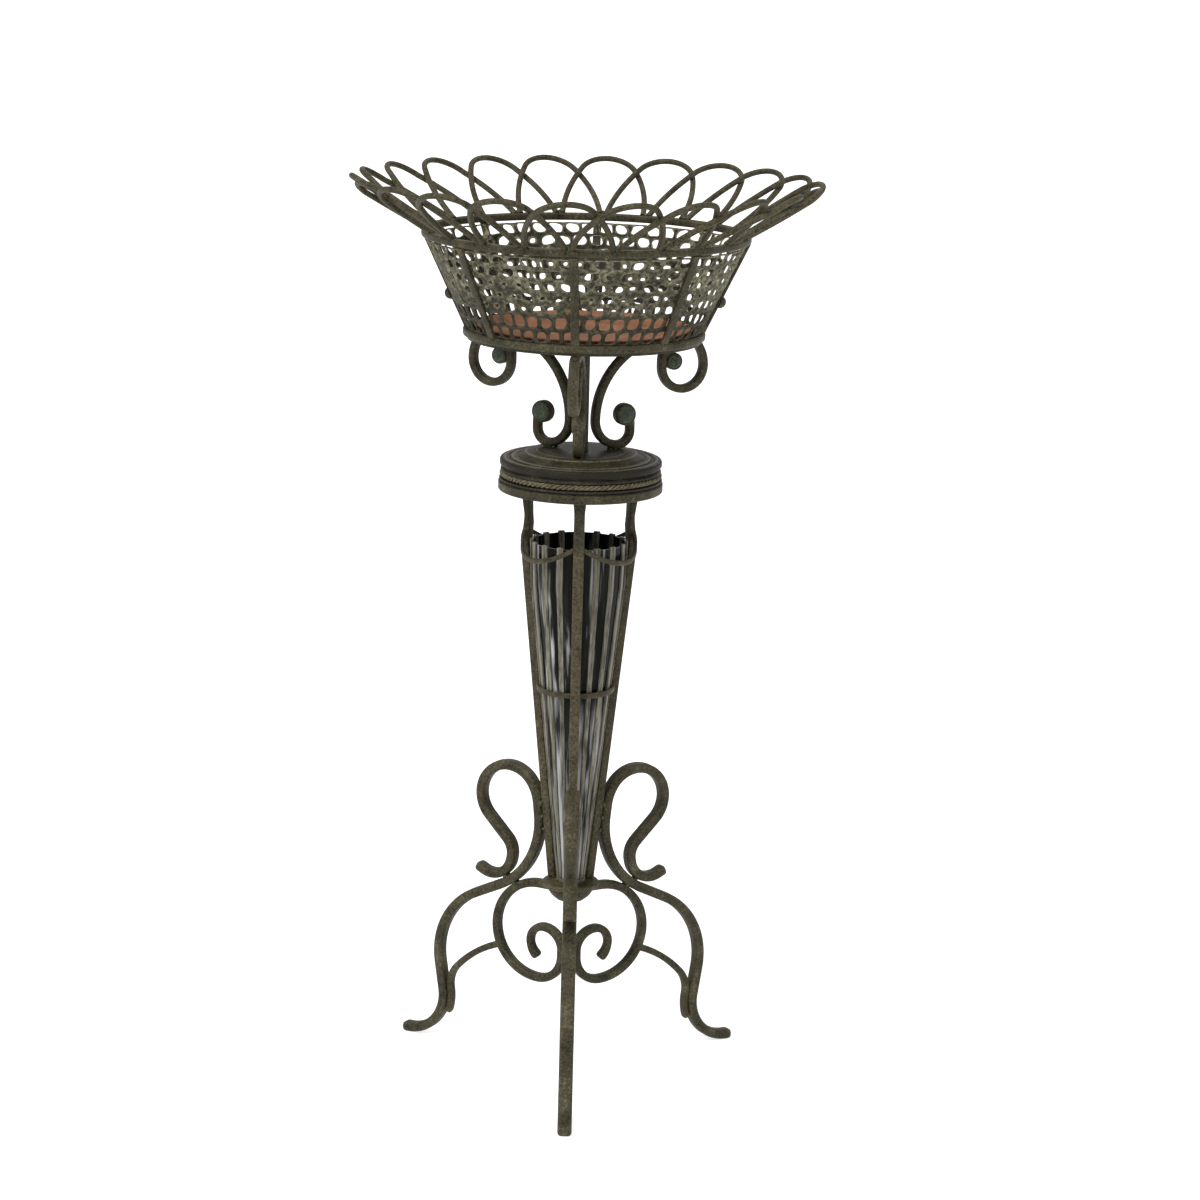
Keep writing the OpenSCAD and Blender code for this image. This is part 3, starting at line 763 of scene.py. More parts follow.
def lathe(name: str, profile: Profile, finish: Finish, turns: int = 128,
          bevel: float = 0.0) -> Piece:
    """Turns a closed profile about the upright axis.

    Args:
        name: The piece's name.
        profile: Corners as radius and height in millimetres, anticlockwise with out to the right.
        finish: Its finish.
        turns: How many steps round.
        bevel: The rounding of its corners in millimetres.

    Returns:
        The piece.
    """
    verts: list[Point] = []
    rows: list[list[int]] = []
    for r, z in profile:
        count = turns if r > 0 else 1
        rows.append([len(verts) + k % count for k in range(turns)])
        verts += [spot(r, 2 * math.pi * k / turns, z) for k in range(count)]
    faces = []
    for low, high in zip(rows, rows[1:] + rows[:1]):
        for k in range(turns):
            n = (k + 1) % turns
            face = list(dict.fromkeys((low[k], low[n], high[n], high[k])))
            if len(face) > 2:
                faces.append(face)
    piece = face_mesh(name, verts, faces, finish)
    tidy_mesh(piece.data)
    return finished(piece, bevel)


def tidy_mesh(mesh: Mesh, merge: float = 1e-6, flat: float = 0.0) -> None:
    """Merges doubles, dissolves flat edges and turns the faces outwards.

    Args:
        mesh: The mesh.
        merge: The distance within which points are merged, in metres.
        flat: The angle in degrees below which an edge is dissolved, where it isn't 0.
    """
    work = bmesh.new()
    work.from_mesh(mesh)
    bmesh.ops.remove_doubles(work, verts=work.verts, dist=merge)
    if flat > 0:
        bmesh.ops.dissolve_limit(work, angle_limit=math.radians(flat), verts=work.verts,
                                 edges=work.edges)
    bmesh.ops.recalc_face_normals(work, faces=work.faces)
    work.to_mesh(mesh)
    work.free()


def finished(piece: Piece, bevel: float = 0.0, angle: float = 40.0) -> Piece:
    """Rounds a piece's edges, bakes its modifiers and shades it smooth.

    Args:
        piece: The piece.
        bevel: The rounding's width in millimetres.
        angle: Edges past this angle, in degrees, stay crisp.

    Returns:
        The baked piece.
    """
    if bevel > 0:
        rounding = piece.modifiers.new("soften", "BEVEL")
        rounding.width = bevel * MM
        rounding.segments = 3
        rounding.limit_method = "ANGLE"
        rounding.angle_limit = math.radians(LEAST_BEVEL_ANGLE)
    if piece.modifiers:
        name = piece.name
        piece.name = name + ".raw"
        piece = bake(piece, name)
    piece.data.shade_smooth()
    piece.data.set_sharp_from_angle(angle=math.radians(angle))
    return piece


def repeated(piece: Piece, azimuths: tuple, r: float, z: float, tilt: Matrix) -> Piece:
    """Repeats a piece's mesh round the axis.

    Args:
        piece: The piece, whose mesh is replaced.
        azimuths: Where the copies face, in degrees.
        r: Their radius in millimetres.
        z: Their height in millimetres.
        tilt: How each is turned on its place.

    Returns:
        The piece.
    """
    whole = bmesh.new()
    for azimuth in azimuths:
        part = piece.data.copy()
        part.transform(Matrix.Rotation(facing(azimuth), 4, "Z")
                       @ Matrix.Translation((r * MM, 0, z * MM)) @ tilt)
        whole.from_mesh(part)
        bpy.data.meshes.remove(part)
    whole.to_mesh(piece.data)
    whole.free()
    return piece


def place_piece(piece: Piece, body: Body, slot: Slot, *nodes: str) -> None:
    """Makes a piece ride on a body and hides the nodes it stands for.

    Args:
        piece: The piece.
        body: The body that carries it.
        slot: The record's slot, which is not used.
        *nodes: The CAD nodes it replaces.
    """
    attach(piece, body.value)
    if nodes:
        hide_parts(*nodes)
    log.info("%s: %d faces on %s", piece.name, len(piece.data.polygons), body.value)


def softened_node(node: str, width: float, finish: Finish) -> Piece:
    """Copies a CAD node's shape, merges it and rounds its edges.

    Args:
        node: The node's name.
        width: The rounding in millimetres.
        finish: The finish.

    Returns:
        The new piece, not yet riding.
    """
    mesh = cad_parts[node].data.copy()
    mesh.materials.clear()
    mesh.materials.append(finish.material())
    tidy_mesh(mesh, merge=2e-6, flat=1.5)
    return finished(linked(node + "_form", mesh), width)


def dress(node: str, finish: Finish) -> None:
    """Gives a CAD node a finish.

    Args:
        node: The node's name.
        finish: The finish.
    """
    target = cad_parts[node]
    if not target.material_slots:
        target.data.materials.append(finish.material())
    for slot in target.material_slots:
        slot.material = finish.material()


def bar_sculptor() -> Sculptor:
    """Builds the tree that sweeps a rounded flat bar along a path and repeats it round the axis.

    Returns:
        The sculptor.
    """
    s = Sculptor("bent bar")
    t = s.tree
    upright = t.add("GeometryNodeSetCurveNormal", mode="Z_UP", Curve=s.path())
    box = t.add("GeometryNodeCurvePrimitiveQuadrilateral",
                Width=s.input("Thickness", "Float", 0.007), Height=s.input("Width", "Float", 0.01))
    profile = t.add("GeometryNodeFilletCurve", mode="POLY", Curve=box, Count=4,
                    Radius=s.input("Corner", "Float", 0.002))
    girth = t.add("GeometryNodeInputNamedAttribute", data_type="FLOAT", Name="girth")
    sweep = t.add("GeometryNodeCurveToMesh", Curve=upright, Profile_Curve=profile, Scale=girth,
                  Fill_Caps=True)
    return s.repeat(t.add("GeometryNodeTransform", Geometry=sweep, Rotation=(math.pi / 2, 0, 0)))


def wire_sculptor() -> Sculptor:
    """Builds the tree that sweeps a round wire along a path and repeats it round the axis.

    Returns:
        The sculptor.
    """
    s = Sculptor("round wire")
    t = s.tree
    radius = t.times(s.input("Diameter", "Float", 0.007), 0.5)
    ring = t.add("GeometryNodeCurvePrimitiveCircle", mode="RADIUS", Radius=radius,
                 Resolution=s.input("Sides", "Int", 12))
    return s.repeat(t.add("GeometryNodeCurveToMesh", Curve=s.path(), Profile_Curve=ring,
                          Fill_Caps=True))


def weld_sculptor() -> Sculptor:
    """Builds the tree that sets a lumpy bead of weld on each point.

    Returns:
        The sculptor.
    """
    s = Sculptor("weld beads")
    t = s.tree
    size = s.input("Size", "Float", 0.004)
    seed = s.input("Seed", "Int", 3)
    turn = t.add("FunctionNodeRandomValue", data_type="FLOAT_VECTOR", Min=(0, 0, 0),
                 Max=(6.28, 6.28, 6.28), Seed=seed)
    grow = t.add("FunctionNodeRandomValue", data_type="FLOAT", Seed=seed)
    least, most = [i for i in grow.inputs if i.type == "VALUE"][:2]
    least.default_value, most.default_value = 0.75, 1.15
    placed = t.add("GeometryNodeInstanceOnPoints",
                   Points=t.add("GeometryNodeMeshToPoints", Mesh=s.source),
                   Instance=t.add("GeometryNodeMeshIcoSphere", Radius=1.0, Subdivisions=3),
                   Rotation=turn, Scale=t.times(size, grow.outputs[1]))
    lumps = t.add("ShaderNodeTexNoise", Scale=260.0, Detail=2.0)
    lift = t.times(t.math("SUBTRACT", lumps, 0.55), t.times(size, 1.6))
    way = t.add("ShaderNodeVectorMath", operation="SCALE", Scale=lift,
                Vector=t.add("GeometryNodeInputNormal"))
    real = t.add("GeometryNodeRealizeInstances", Geometry=placed)
    return s.close(t.add("GeometryNodeSetPosition", Geometry=real, Offset=way), sharp=2.0)


BAR = bar_sculptor()
WIRE = wire_sculptor()
WELD = weld_sculptor()


def swept(name: str, poses: list[Pose], width: float, thick: float, corner: float,
          azimuth: float, copies: int = 1, step: float = 120.0) -> Piece:
    """Sweeps a rounded iron bar along poses in the upright plane.

    Args:
        name: The piece's name.
        poses: The path.
        width: The bar's width across the plane in millimetres.
        thick: Its thickness in the plane in millimetres.
        corner: Its corner radius in millimetres.
        azimuth: Where the first one faces, in degrees.
        copies: How many stand round the axis.
        step: The turn between them in degrees.

    Returns:
        The piece.
    """
    mesh = line_mesh(name + ".path", [(p.out * MM, p.up * MM, 0.0) for p in poses])
    girths = mesh.attributes.new("girth", "FLOAT", "POINT").data
    girths.foreach_set("value", [p.girth for p in poses])
    return BAR.run(mesh, name, IRON, Width=width * MM, Thickness=thick * MM, Corner=corner * MM,
                   Copies=copies, First_Turn=facing(azimuth), Turn_Step=math.radians(step))


def weld(name: str, places: list[tuple], size: float, seed: int, body: Body) -> None:
    """Sets weld beads.

    Args:
        name: The piece's name.
        places: The beads' radius, azimuth and height, in millimetres and degrees.
        size: A bead's radius in millimetres.
        seed: The seed of their turns and sizes.
        body: The body that carries them.
    """
    mesh = bpy.data.meshes.new(name + ".points")
    mesh.from_pydata([spot(r, facing(azimuth), z) for r, azimuth, z in places], [], [])
    place_piece(WELD.run(mesh, name, VERDIGRIS, Size=size * MM, Seed=seed), body, Slot.IRON)


def beside(r: float, azimuth: float, z: float, *sides: float) -> list[tuple]:
    """Returns places for weld beads, each some millimetres round to the side of one place."""
    return [(r, azimuth + math.degrees(side / r), z) for side in sides]


# Sub-assemblies


@dataclass
class Stand:
    """The legs, C-scrolls, column, slatted vase and seat plate. Sizes in millimetres."""

    upright_foot_r: float = 30.3
    upright_shoulder_r: float = 78.5
    plate_z: float = 240.0
    plate_t: float = 6.0
    plate_r: float = 35.0
    shoulder_z: float = 655.0
    leg_w: float = 17.0
    leg_t: float = 12.0
    leg_corner: float = 4.3
    scroll_w: float = 13.0
    scroll_t: float = 10.5
    scroll_corner: float = 3.6
    scroll_mid_r: float = 42.5
    scroll_r: float = 60.7
    brace_w: float = 10.0
    brace_t: float = 8.0
    brace_corner: float = 2.4
    bowl_r: float = 29.0
    bowl_h: float = 21.0
    seat_gap: float = 0.2
    toe_r: float = 52.0
    shin_heading: float = 260.4
    seam_z: tuple = (300, 316, 332)
    bead_r: float = 2.6
    azimuths: tuple = (0.0, 120.0, 240.0)

    @property
    def slope(self) -> float:
        """The uprights' run out per height."""
        return (self.upright_shoulder_r - self.upright_foot_r) / (self.shoulder_z - self.plate_z)

    def upright_out(self, z: float) -> float:
        """Returns the radius to an upright's outer face at a height."""
        return self.upright_foot_r + (z - self.plate_z) * self.slope

    def leg_paths(self) -> tuple[list[Pose], list[Pose]]:
        """Returns a leg's path from the weld up to the hook, and down to the toe."""
        lean = math.degrees(math.atan(self.slope))
        down = bends((0, 15), (97, 64 + lean), (0, 40), (-92, 334 - self.shin_heading), (0, 36),
                     (self.toe_r, 360 - self.shin_heading), (0, 1))
        up = bends((-53, 33.8 - lean), (-40, 58), (-39.5, 134), (0, 36), (26, 57), (0, 3),
                   (27.5, 104), (0, 5.5))
        z = self.leg_t / 2 - min(p.up for p in route(Pose(0, 0, 270 - lean), down))
        r = self.upright_out(z) + (self.leg_t / 2 + self.seat_gap) / math.cos(math.radians(lean))
        return route(Pose(r, z, 90 - lean), up), route(Pose(r, z, 270 - lean), down)

    def scroll_poses(self) -> list[Pose]:
        """Returns a C-scroll's path from the foot plate inwards, thinner in the inner curl."""
        top = self.plate_z - self.plate_t - self.seat_gap - self.scroll_t / 2
        start = self.bowl_r + self.seat_gap
        side_room = self.scroll_w / 2 / math.tan(math.pi / 3)
        inner = self.scroll_mid_r - self.scroll_t / 2 - 0.6 - side_room
        path = route(Pose(start, top, 0), bends(
            (0, self.scroll_mid_r - start), (-self.scroll_r, 180), (-inner, 90), (0, 7.5),
            (-26, 90), (-19, 90), (-24, 44), (0, 1)))
        girths = [1.02 - 0.016 * k if k < 9 else min(1.0, 0.876 + 0.0025 * (k - 9))
                  for k in range(len(path))]
        return [Pose(p.out, p.up, p.heading, g) for p, g in zip(path, reversed(girths))]

    def brace_poses(self, down: list[Pose]) -> list[Pose]:
        """Builds a brace's path from beside the shin to inside the C-scroll's back.

        Args:
            down: The leg's path from the weld to the toe.

        Returns:
            The path.
        """
        off = (self.leg_t + self.brace_t) / 2 + self.seat_gap + 0.05
        shin = [p for p in down if abs(p.heading - self.shin_heading) < 0.01][-1]
        low = shin.along(Bend(self.toe_r, 27))
        a = math.radians(low.heading)
        start = Pose(low.out + off * math.sin(a), low.up - off * math.cos(a), low.heading - 180)
        return route(start, bends((-self.toe_r - off, 27), (0, 0.5), (36.5, 52), (149, 29),
                                  (0, 1)))

    def build_feet(self) -> None:
        """Builds the legs, C-scrolls and braces with their welds."""
        up, down = self.leg_paths()
        scroll = rounded(self.scroll_poses(), self.scroll_t, start=False)
        bars = {"leg": (rounded(reversed_poses(up) + down, self.leg_t), self.leg_w, self.leg_t,
                        self.leg_corner),
                "c_scroll": (scroll, self.scroll_w, self.scroll_t, self.scroll_corner)}
        for i, azimuth in enumerate(self.azimuths, 1):
            for name, shape in bars.items():
                bar = swept(f"{name}_bar_{i}", *shape, azimuth)
                place_piece(bar, Body.STAND, Slot.IRON, f"{name}_{i}")
        brace = self.brace_poses(down)
        braces = swept("brace_bars", [brace[0].ahead(-3, 0.7)] + brace, self.brace_w, self.brace_t,
                       self.brace_corner, self.azimuths[0], copies=3)
        place_piece(braces, Body.STAND, Slot.IRON, "braces")
        joints = (nearest(up[12:], down[1:]), nearest(scroll, down),
                  (brace[-1].out + 5, brace[-1].up),
                  (self.bowl_r + 2, self.plate_z - self.plate_t - 2))
        beads = []
        for azimuth in self.azimuths:
            for r, z in joints:
                beads += beside(r, azimuth, z, -4.5, 0, 4.5)
            for z in self.seam_z:
                beads += beside(self.upright_out(z) + 0.5, azimuth, z, -5.5, 5.5)
        weld("foot_welds", beads, self.bead_r, 11, Body.STAND)

    def build_column(self) -> None:
        """Builds the uprights, swags, waist ring, foot plate and seat plate."""
        for node, width in {"upright_1": 1.8, "upright_2": 1.8, "upright_3": 1.8, "swags": 1.2,
                            "waist_ring": 1.2, "seat_plate": 0.8}.items():
            place_piece(softened_node(node, width, IRON), Body.STAND, Slot.IRON, node)
        top, r = self.plate_z, self.plate_r
        under = top - self.plate_t
        low = under - self.bowl_h
        bowl = [(0, low), (9, low + 0.8), (17, low + 4.2), (23.5, low + 9.8), (27.6, low + 16),
                (self.bowl_r, under - 1), (self.bowl_r, under), (r - 1, under), (r, under + 1.2),
                (r, top - 1.5), (r - 1.4, top), (0, top)]
        place_piece(lathe("foot_bowl", bowl, IRON), Body.STAND, Slot.IRON, "foot_plate")

    def build_vase(self) -> None:
        """Dresses the panes and rounds the slats."""
        slats = softened_node("vase_slats", 0.7, SLAT_BRONZE)
        place_piece(slats, Body.STAND, Slot.SLATS, "vase_slats")
        dress("vase_panes", PANES)


@dataclass
class Turntable:
    """The drum, rope moulding, cap plate and spindle under the basket. Sizes in millimetres."""

    bore_r: float = 6.05
    cap_r: float = 96.5
    drum_z: float = 737.3
    drum_h: float = 18.0
    cap_h: float = 9.5
    cap_rise: float = 8.0
    rope_d: float = 6.8
    rope_twists: int = 30
    steps_per_twist: int = 14

    def build(self) -> None:
        """Builds the turned plates and the twisted rope."""
        r, z, bore = self.cap_r, self.drum_z, self.bore_r
        cap = z + self.drum_h
        seat = r - self.rope_d
        over = z + self.rope_d
        drum = [(bore, z), (r - 1.5, z), (r + 0.5, z + 1.5), (r + 0.5, z + 3.5), (seat, z + 4.5),
                (seat, over + 4.9), (r - 1, over + 5.5), (r - 1, over + 7.5), (r - 4, cap - 1),
                (r - 4, cap), (bore, cap)]
        drum_turning = lathe("drum_turning", drum, IRON_DARK, bevel=0.5)
        place_piece(drum_turning, Body.BASKET, Slot.IRON, "drum")
        flat = cap + self.cap_h
        top = flat + self.cap_rise
        plate = [(bore, cap), (r - 2, cap), (r, cap + 2), (r, flat - 3), (r - 0.9, flat - 0.9),
                 (r - 3, flat), (r - 9, flat), (r - 10, flat - 1.2), (r - 12, flat - 1.2),
                 (r - 13, flat + 0.6), (r - 19, flat + 1.4), (r - 20, flat + 0.4),
                 (r - 22, flat + 0.4), (r - 23, flat + 2), (r - 31, top - 1.2), (r - 34, top),
                 (r - 48, top), (bore, top)]
        cap_turning = lathe("cap_turning", plate, TURNED, bevel=0.6)
        place_piece(cap_turning, Body.BASKET, Slot.IRON, "cap_plate")
        place_piece(self.rope(), Body.BASKET, Slot.IRON, "rope_moulding")
        for node in ("spindle", "spindle_nut"):
            dress(node, IRON_DARK)

    def rope(self) -> Piece:
        """Returns the rope of three strands laid round the drum."""
        big = self.cap_r - self.rope_d / 2 + 0.2
        z = self.drum_z + 4.7 + self.rope_d / 2
        lay = self.rope_d * 0.275
        count = self.rope_twists * self.steps_per_twist
        points = []
        for k in range(count):
            a = 2 * math.pi * k / count
            b = a * self.rope_twists
            points.append(spot(big + lay * math.cos(b), a, z + lay * math.sin(b)))
        return WIRE.run(line_mesh("rope.path", points, closed=True), "rope_strands", ROPE,
                        Diameter=self.rope_d * 0.45 * MM, Sides=10, Copies=3,
                        Turn_Step=2 * math.pi / self.rope_twists / 3)


@dataclass
class ScrollArms:
    """The three scroll arms between the cap plate and the basket's floor. Sizes in millimetres.

    The buds are how far out of and over the curl's end they sit, and their radius. The outlines
    are shares of that radius, and heights over half a bud's width. The welds sit at weld_r, to
    either side by weld_turn in degrees.
    """

    width: float = 12.0
    thick: float = 10.0
    corner: float = 3.2
    run_z: float = 901.3
    cap_top: float = 772.8
    mid_r: float = 112.0
    waist_r: float = 17.5
    waist: float = 0.5
    turn_r: float = 20.0
    turn: float = 16.0
    foot_r: float = 30.0
    curl_r: float = 28.0
    lower_bud: tuple = (6.5, -3, 13.4)
    upper_bud: tuple = (6, -11, 10.5)
    weld_r: tuple = (38, 44, 50)
    weld_turn: float = 4
    bead_r: float = 2.4
    bud_outline: tuple = ((0, -1.0), (0.79, -1.0), (0.83, 0.1), (0.87, 0.3), (0.92, -0.1),
                          (0.97, -1.2), (0.995, -2.6), (1, -4.2))
    face_outline: tuple = ((0, 1.5), (0.34, 1.4), (0.62, 1.0), (0.78, 0.1), (0.82, -1.4))
    azimuths: tuple = (-4.0, 116.0, 236.0)

    def paths(self) -> tuple[list[Pose], list[Pose]]:
        """Returns the path in from the run and the path out to the hanging curl."""
        s, c = math.sin(math.radians(self.turn)), math.cos(math.radians(self.turn))
        drop = self.run_z - self.waist - self.foot_r - (self.cap_top + 0.2 + self.thick / 2)
        sweep = (drop - self.turn_r * (1 - c)) / c
        end_r = self.waist_r + sweep * (1 - s) + self.turn_r * s
        inward = bends((0, self.mid_r - end_r), (self.turn_r, self.turn), (sweep, 90 - self.turn),
                       (0, self.waist), (self.foot_r, 90), (16, 90), (0, 9), (14, 90))
        outward = bends((0, 27.5), (-14, 60), (0, 6), (-40, 30), (-self.curl_r, 180), (0, 8),
                        (-9, 90))
        return (route(Pose(self.mid_r, self.run_z, 180), inward),
                route(Pose(self.mid_r, self.run_z, 0), outward))

    def buds(self, name: str, end: Pose, out: float, up: float, radius: float, face: bool) -> None:
        """Builds the three round buds at one end of the arms, or the green faces set in them.

        Args:
            name: The piece's name.
            end: The bar's end.
            out: How far outside it the buds sit.
            up: How far over it.
            radius: Their own radius.
            face: Whether the faces are built.
        """
        half = (self.width + 1) / 2
        outline = self.face_outline if face else self.bud_outline
        side = [(radius * share, half + rise) for share, rise in outline]
        profile = [(x, -h) for x, h in side] + [(x, h) for x, h in reversed(side)]
        piece = lathe(name, profile, VERDIGRIS if face else IRON, turns=36)
        stand_up = Matrix.Rotation(math.pi / 2, 4, "X")
        repeated(piece, self.azimuths, end.out + out, end.up + up, stand_up)
        place_piece(piece, Body.BASKET, Slot.IRON)

    def build(self) -> None:
        """Builds the arms and their buds."""
        inward, outward = self.paths()
        poses = reversed_poses(outward) + inward
        for i, azimuth in enumerate(self.azimuths, 1):
            arm = swept(f"arm_bar_{i}", poses, self.width, self.thick, self.corner, azimuth)
            place_piece(arm, Body.BASKET, Slot.IRON, f"arm_{i}")
        for name, face in (("buds", False), ("bud_faces", True)):
            self.buds("lower_" + name, inward[-1], *self.lower_bud, face)
            self.buds("upper_" + name, outward[-1], *self.upper_bud, face)
        beads = [(r, azimuth + side, self.cap_top + 0.5) for azimuth in self.azimuths
                 for r in self.weld_r for side in (self.weld_turn, -self.weld_turn)]
        weld("arm_welds", beads, self.bead_r, 5, Body.BASKET)


@dataclass
class Basket:
    """The rings, ribs, lace wall, knobs and floor. Sizes in millimetres.

    The lace has one value of sizes and closed for each row of holes: the hole's reach as a share
    of its cell, and the share of the holes that are nearly closed.
    """

    top_r: float = 188.5
    top_z: float = 1034.5
    bottom_r: float = 138.0
    bottom_z: float = 919.0
    bar_h: float = 9.0
    bar_w: float = 10.0
    bar_round: float = 2.4
    turn: float = -4.0
    seat_gap: float = 0.2
    ribs: int = 8
    rib_w: float = 10.0
    rib_t: float = 4.0
    rib_corner: float = 1.3
    rib_steps: int = 12
    columns: int = 56
    edges: tuple = (0.0, 0.165, 0.33, 0.465, 0.60, 0.73, 0.865, 1.0)
    sizes: tuple = (0.47, 0.46, 0.36, 0.34, 0.35, 0.42, 0.44)
    closed: tuple = (0.0, 0.02, 0.42, 0.52, 0.46, 0.22, 0.0)
    hole_steps: int = 16
    lace_t: float = 2.4
    relief: float = 0.9
    merge: float = 0.42
    gap: float = 1.6
    seed: int = 17
    knob_r: float = 7.5
    knob_sunk: float = 1.5
    knob_height: float = 0.34

    @property
    def low(self) -> float:
        """The wall's lower edge."""
        return self.bottom_z + self.seat_gap

    @property
    def high(self) -> float:
        """The wall's upper edge at the ribs."""
        return self.top_z - self.bar_h - self.seat_gap

    @property
    def lean(self) -> float:
        """The wall's lean in radians."""
        return math.atan((self.top_r - self.bottom_r) / (self.high - self.low))

    def wall_r(self, z: float) -> float:
        """Returns the radius of the wall's outer face at a height."""
        run = self.top_r - self.bottom_r
        return self.bottom_r + (z - self.low) * run / (self.high - self.low)

    def ring(self, node: str, r: float, z: float) -> None:
        """Builds one round bar ring.

        Args:
            node: The CAD node that it stands for.
            r: Its middle radius.
            z: The height of its upper face.
        """
        w, h = self.bar_w / 2, self.bar_h
        profile = [(r - w, z - h), (r + w, z - h), (r + w, z), (r - w, z)]
        bar = lathe(node + "_bar", profile, IRON, turns=160, bevel=self.bar_round)
        place_piece(bar, Body.BASKET, Slot.IRON, node)

    def rib_bars(self) -> Piece:
        """Returns the flat ribs."""
        shift = self.seat_gap + self.rib_t / 2 / math.cos(self.lean)
        heights = [self.low + (self.high - self.low) * k / self.rib_steps
                   for k in range(self.rib_steps + 1)]
        return swept("rib_bars", [Pose(self.wall_r(z) + shift, z, 0) for z in heights], self.rib_w,
                     self.rib_t, self.rib_corner, self.turn, copies=self.ribs,
                     step=360 / self.ribs)

    def sheet(self) -> tuple[list[Point], list[list[int]]]:
        """Draws the lace flat, as staggered slanted holes.

        Returns:
            The corners as columns round, share of the height and rise, and the faces.
        """
        rng = random.Random(self.seed)
        verts: list[Point] = []
        faces: list[list[int]] = []
        shared: dict[tuple, Point] = {}

        def add(u: float, v: float, rise: float) -> int:
            """Adds a point of the sheet and returns its number."""
            verts.append((u, v, rise))
            return len(verts) - 1

        def web(u: float, v: float) -> int:
            """Adds a point of the web, with the shift and rise that neighbouring holes share.

            Args:
                u: Its place round, in columns.
                v: Its share of the height.

            Returns:
                Its number.
            """
            key = (round(u % self.columns, 3), round(v, 4))
            du, dv, rise = shared.setdefault(key, (
                rng.uniform(-0.09, 0.09), rng.uniform(-0.012, 0.012), 1.1 + rng.uniform(-0.6, 0.9)))
            return add(u + du, v + (dv if 0 < v < 1 else 0.0), rise)

        steps = self.hole_steps
        for row, (v0, v1) in enumerate(zip(self.edges, self.edges[1:])):
            for col in range(self.columns):
                u0 = col + (0.5 if row % 2 else 0.0)
                cu, cv = u0 + 0.5 + rng.uniform(-0.06, 0.06), 0.5 + rng.uniform(-0.06, 0.06)
                size = self.sizes[row] * rng.uniform(0.84, 1.12)
                size *= 0.4 if rng.random() < self.closed[row] else 1.0
                slant = math.radians(rng.uniform(30, 60) * (1 if row < 2 else rng.choice((1, -1))))
                long_way = rng.uniform(1.08, 1.28)
                outer, inner = [], []
                for k in range(steps):
                    side, part = divmod(4 * k / steps, 1)
                    ou, ov = ((part, 0.0), (1.0, part), (1 - part, 1.0), (0.0, 1 - part))[int(side)]
                    outer.append(web(u0 + ou, v0 + (v1 - v0) * ov))
                    a = math.radians(-135 + 360 / steps * k)
                    c, d = math.cos(a - slant), math.sin(a - slant)
                    reach = size / math.sqrt((c / long_way) ** 2 + (d * long_way) ** 2)
                    reach = min(reach * (1 + rng.uniform(-0.09, 0.09)),
                                0.45 / max(abs(math.cos(a)), abs(math.sin(a))))
                    inner.append(add(cu + reach * math.cos(a),
                                     v0 + (v1 - v0) * (cv + reach * math.sin(a)),
                                     rng.uniform(-0.15, 0.15)))
                for k in range(steps):
                    n = (k + 1) % steps
                    faces.append([outer[k], outer[n], inner[n], inner[k]])
        return verts, faces

    def lace(self) -> Piece:
        """Returns the cast lace wall: the sheet bent round, thickened and rounded."""
        verts, faces = self.sheet()
        high = self.top_z - self.bar_h - self.gap
        points = []
        for u, v, rise in verts:
            z = self.low + (high - self.low) * v
            out = self.relief * rise
            points.append(spot(self.wall_r(z) - self.lace_t + out,
                               facing(self.turn) + u * 2 * math.pi / self.columns,
                               z - out * math.sin(self.lean) * 0.5))
        piece = face_mesh("basket_lace", points, faces, LACE)
        tidy_mesh(piece.data, merge=self.merge * MM)
        solid = piece.modifiers.new("thick", "SOLIDIFY")
        solid.thickness = self.lace_t * MM
        solid.offset = -1
        rounding = piece.modifiers.new("round", "SUBSURF")
        rounding.levels = rounding.render_levels = 1
        return finished(piece, angle=180)

    def knobs(self) -> Piece:
        """Returns the two ball knobs, half sunk on the side ribs."""
        z = self.low + self.knob_height * (self.high - self.low)
        r = self.wall_r(z) + self.seat_gap + self.rib_t / math.cos(self.lean)
        ball, sunk = self.knob_r, self.knob_sunk
        first = math.degrees(math.asin((sunk + self.seat_gap) / ball))
        angles = [math.radians(first + (90 - first) * k / 10) for k in range(10)]
        dome = [(ball * math.cos(b), ball * math.sin(b) - sunk) for b in angles]
        piece = lathe("knob_balls", [(0, self.seat_gap), *dome, (0, ball - sunk)], IRON, turns=32)
        tilt = Matrix.Rotation(math.pi / 2 + self.lean, 4, "Y")
        return repeated(piece, (self.turn - 90, self.turn + 90), r, z, tilt)

    def build(self) -> None:
        """Builds the basket."""
        self.ring("top_ring", self.top_r, self.top_z)
        self.ring("bottom_ring", self.bottom_r, self.bottom_z)
        place_piece(self.rib_bars(), Body.BASKET, Slot.IRON, "ribs")
        panels = [f"wall_panel_{i + 1}" for i in range(self.ribs)]
        place_piece(self.lace(), Body.BASKET, Slot.MESH, *panels)
        place_piece(self.knobs(), Body.BASKET, Slot.IRON, "side_knobs")
        dress("basket_floor", IRON_DARK)


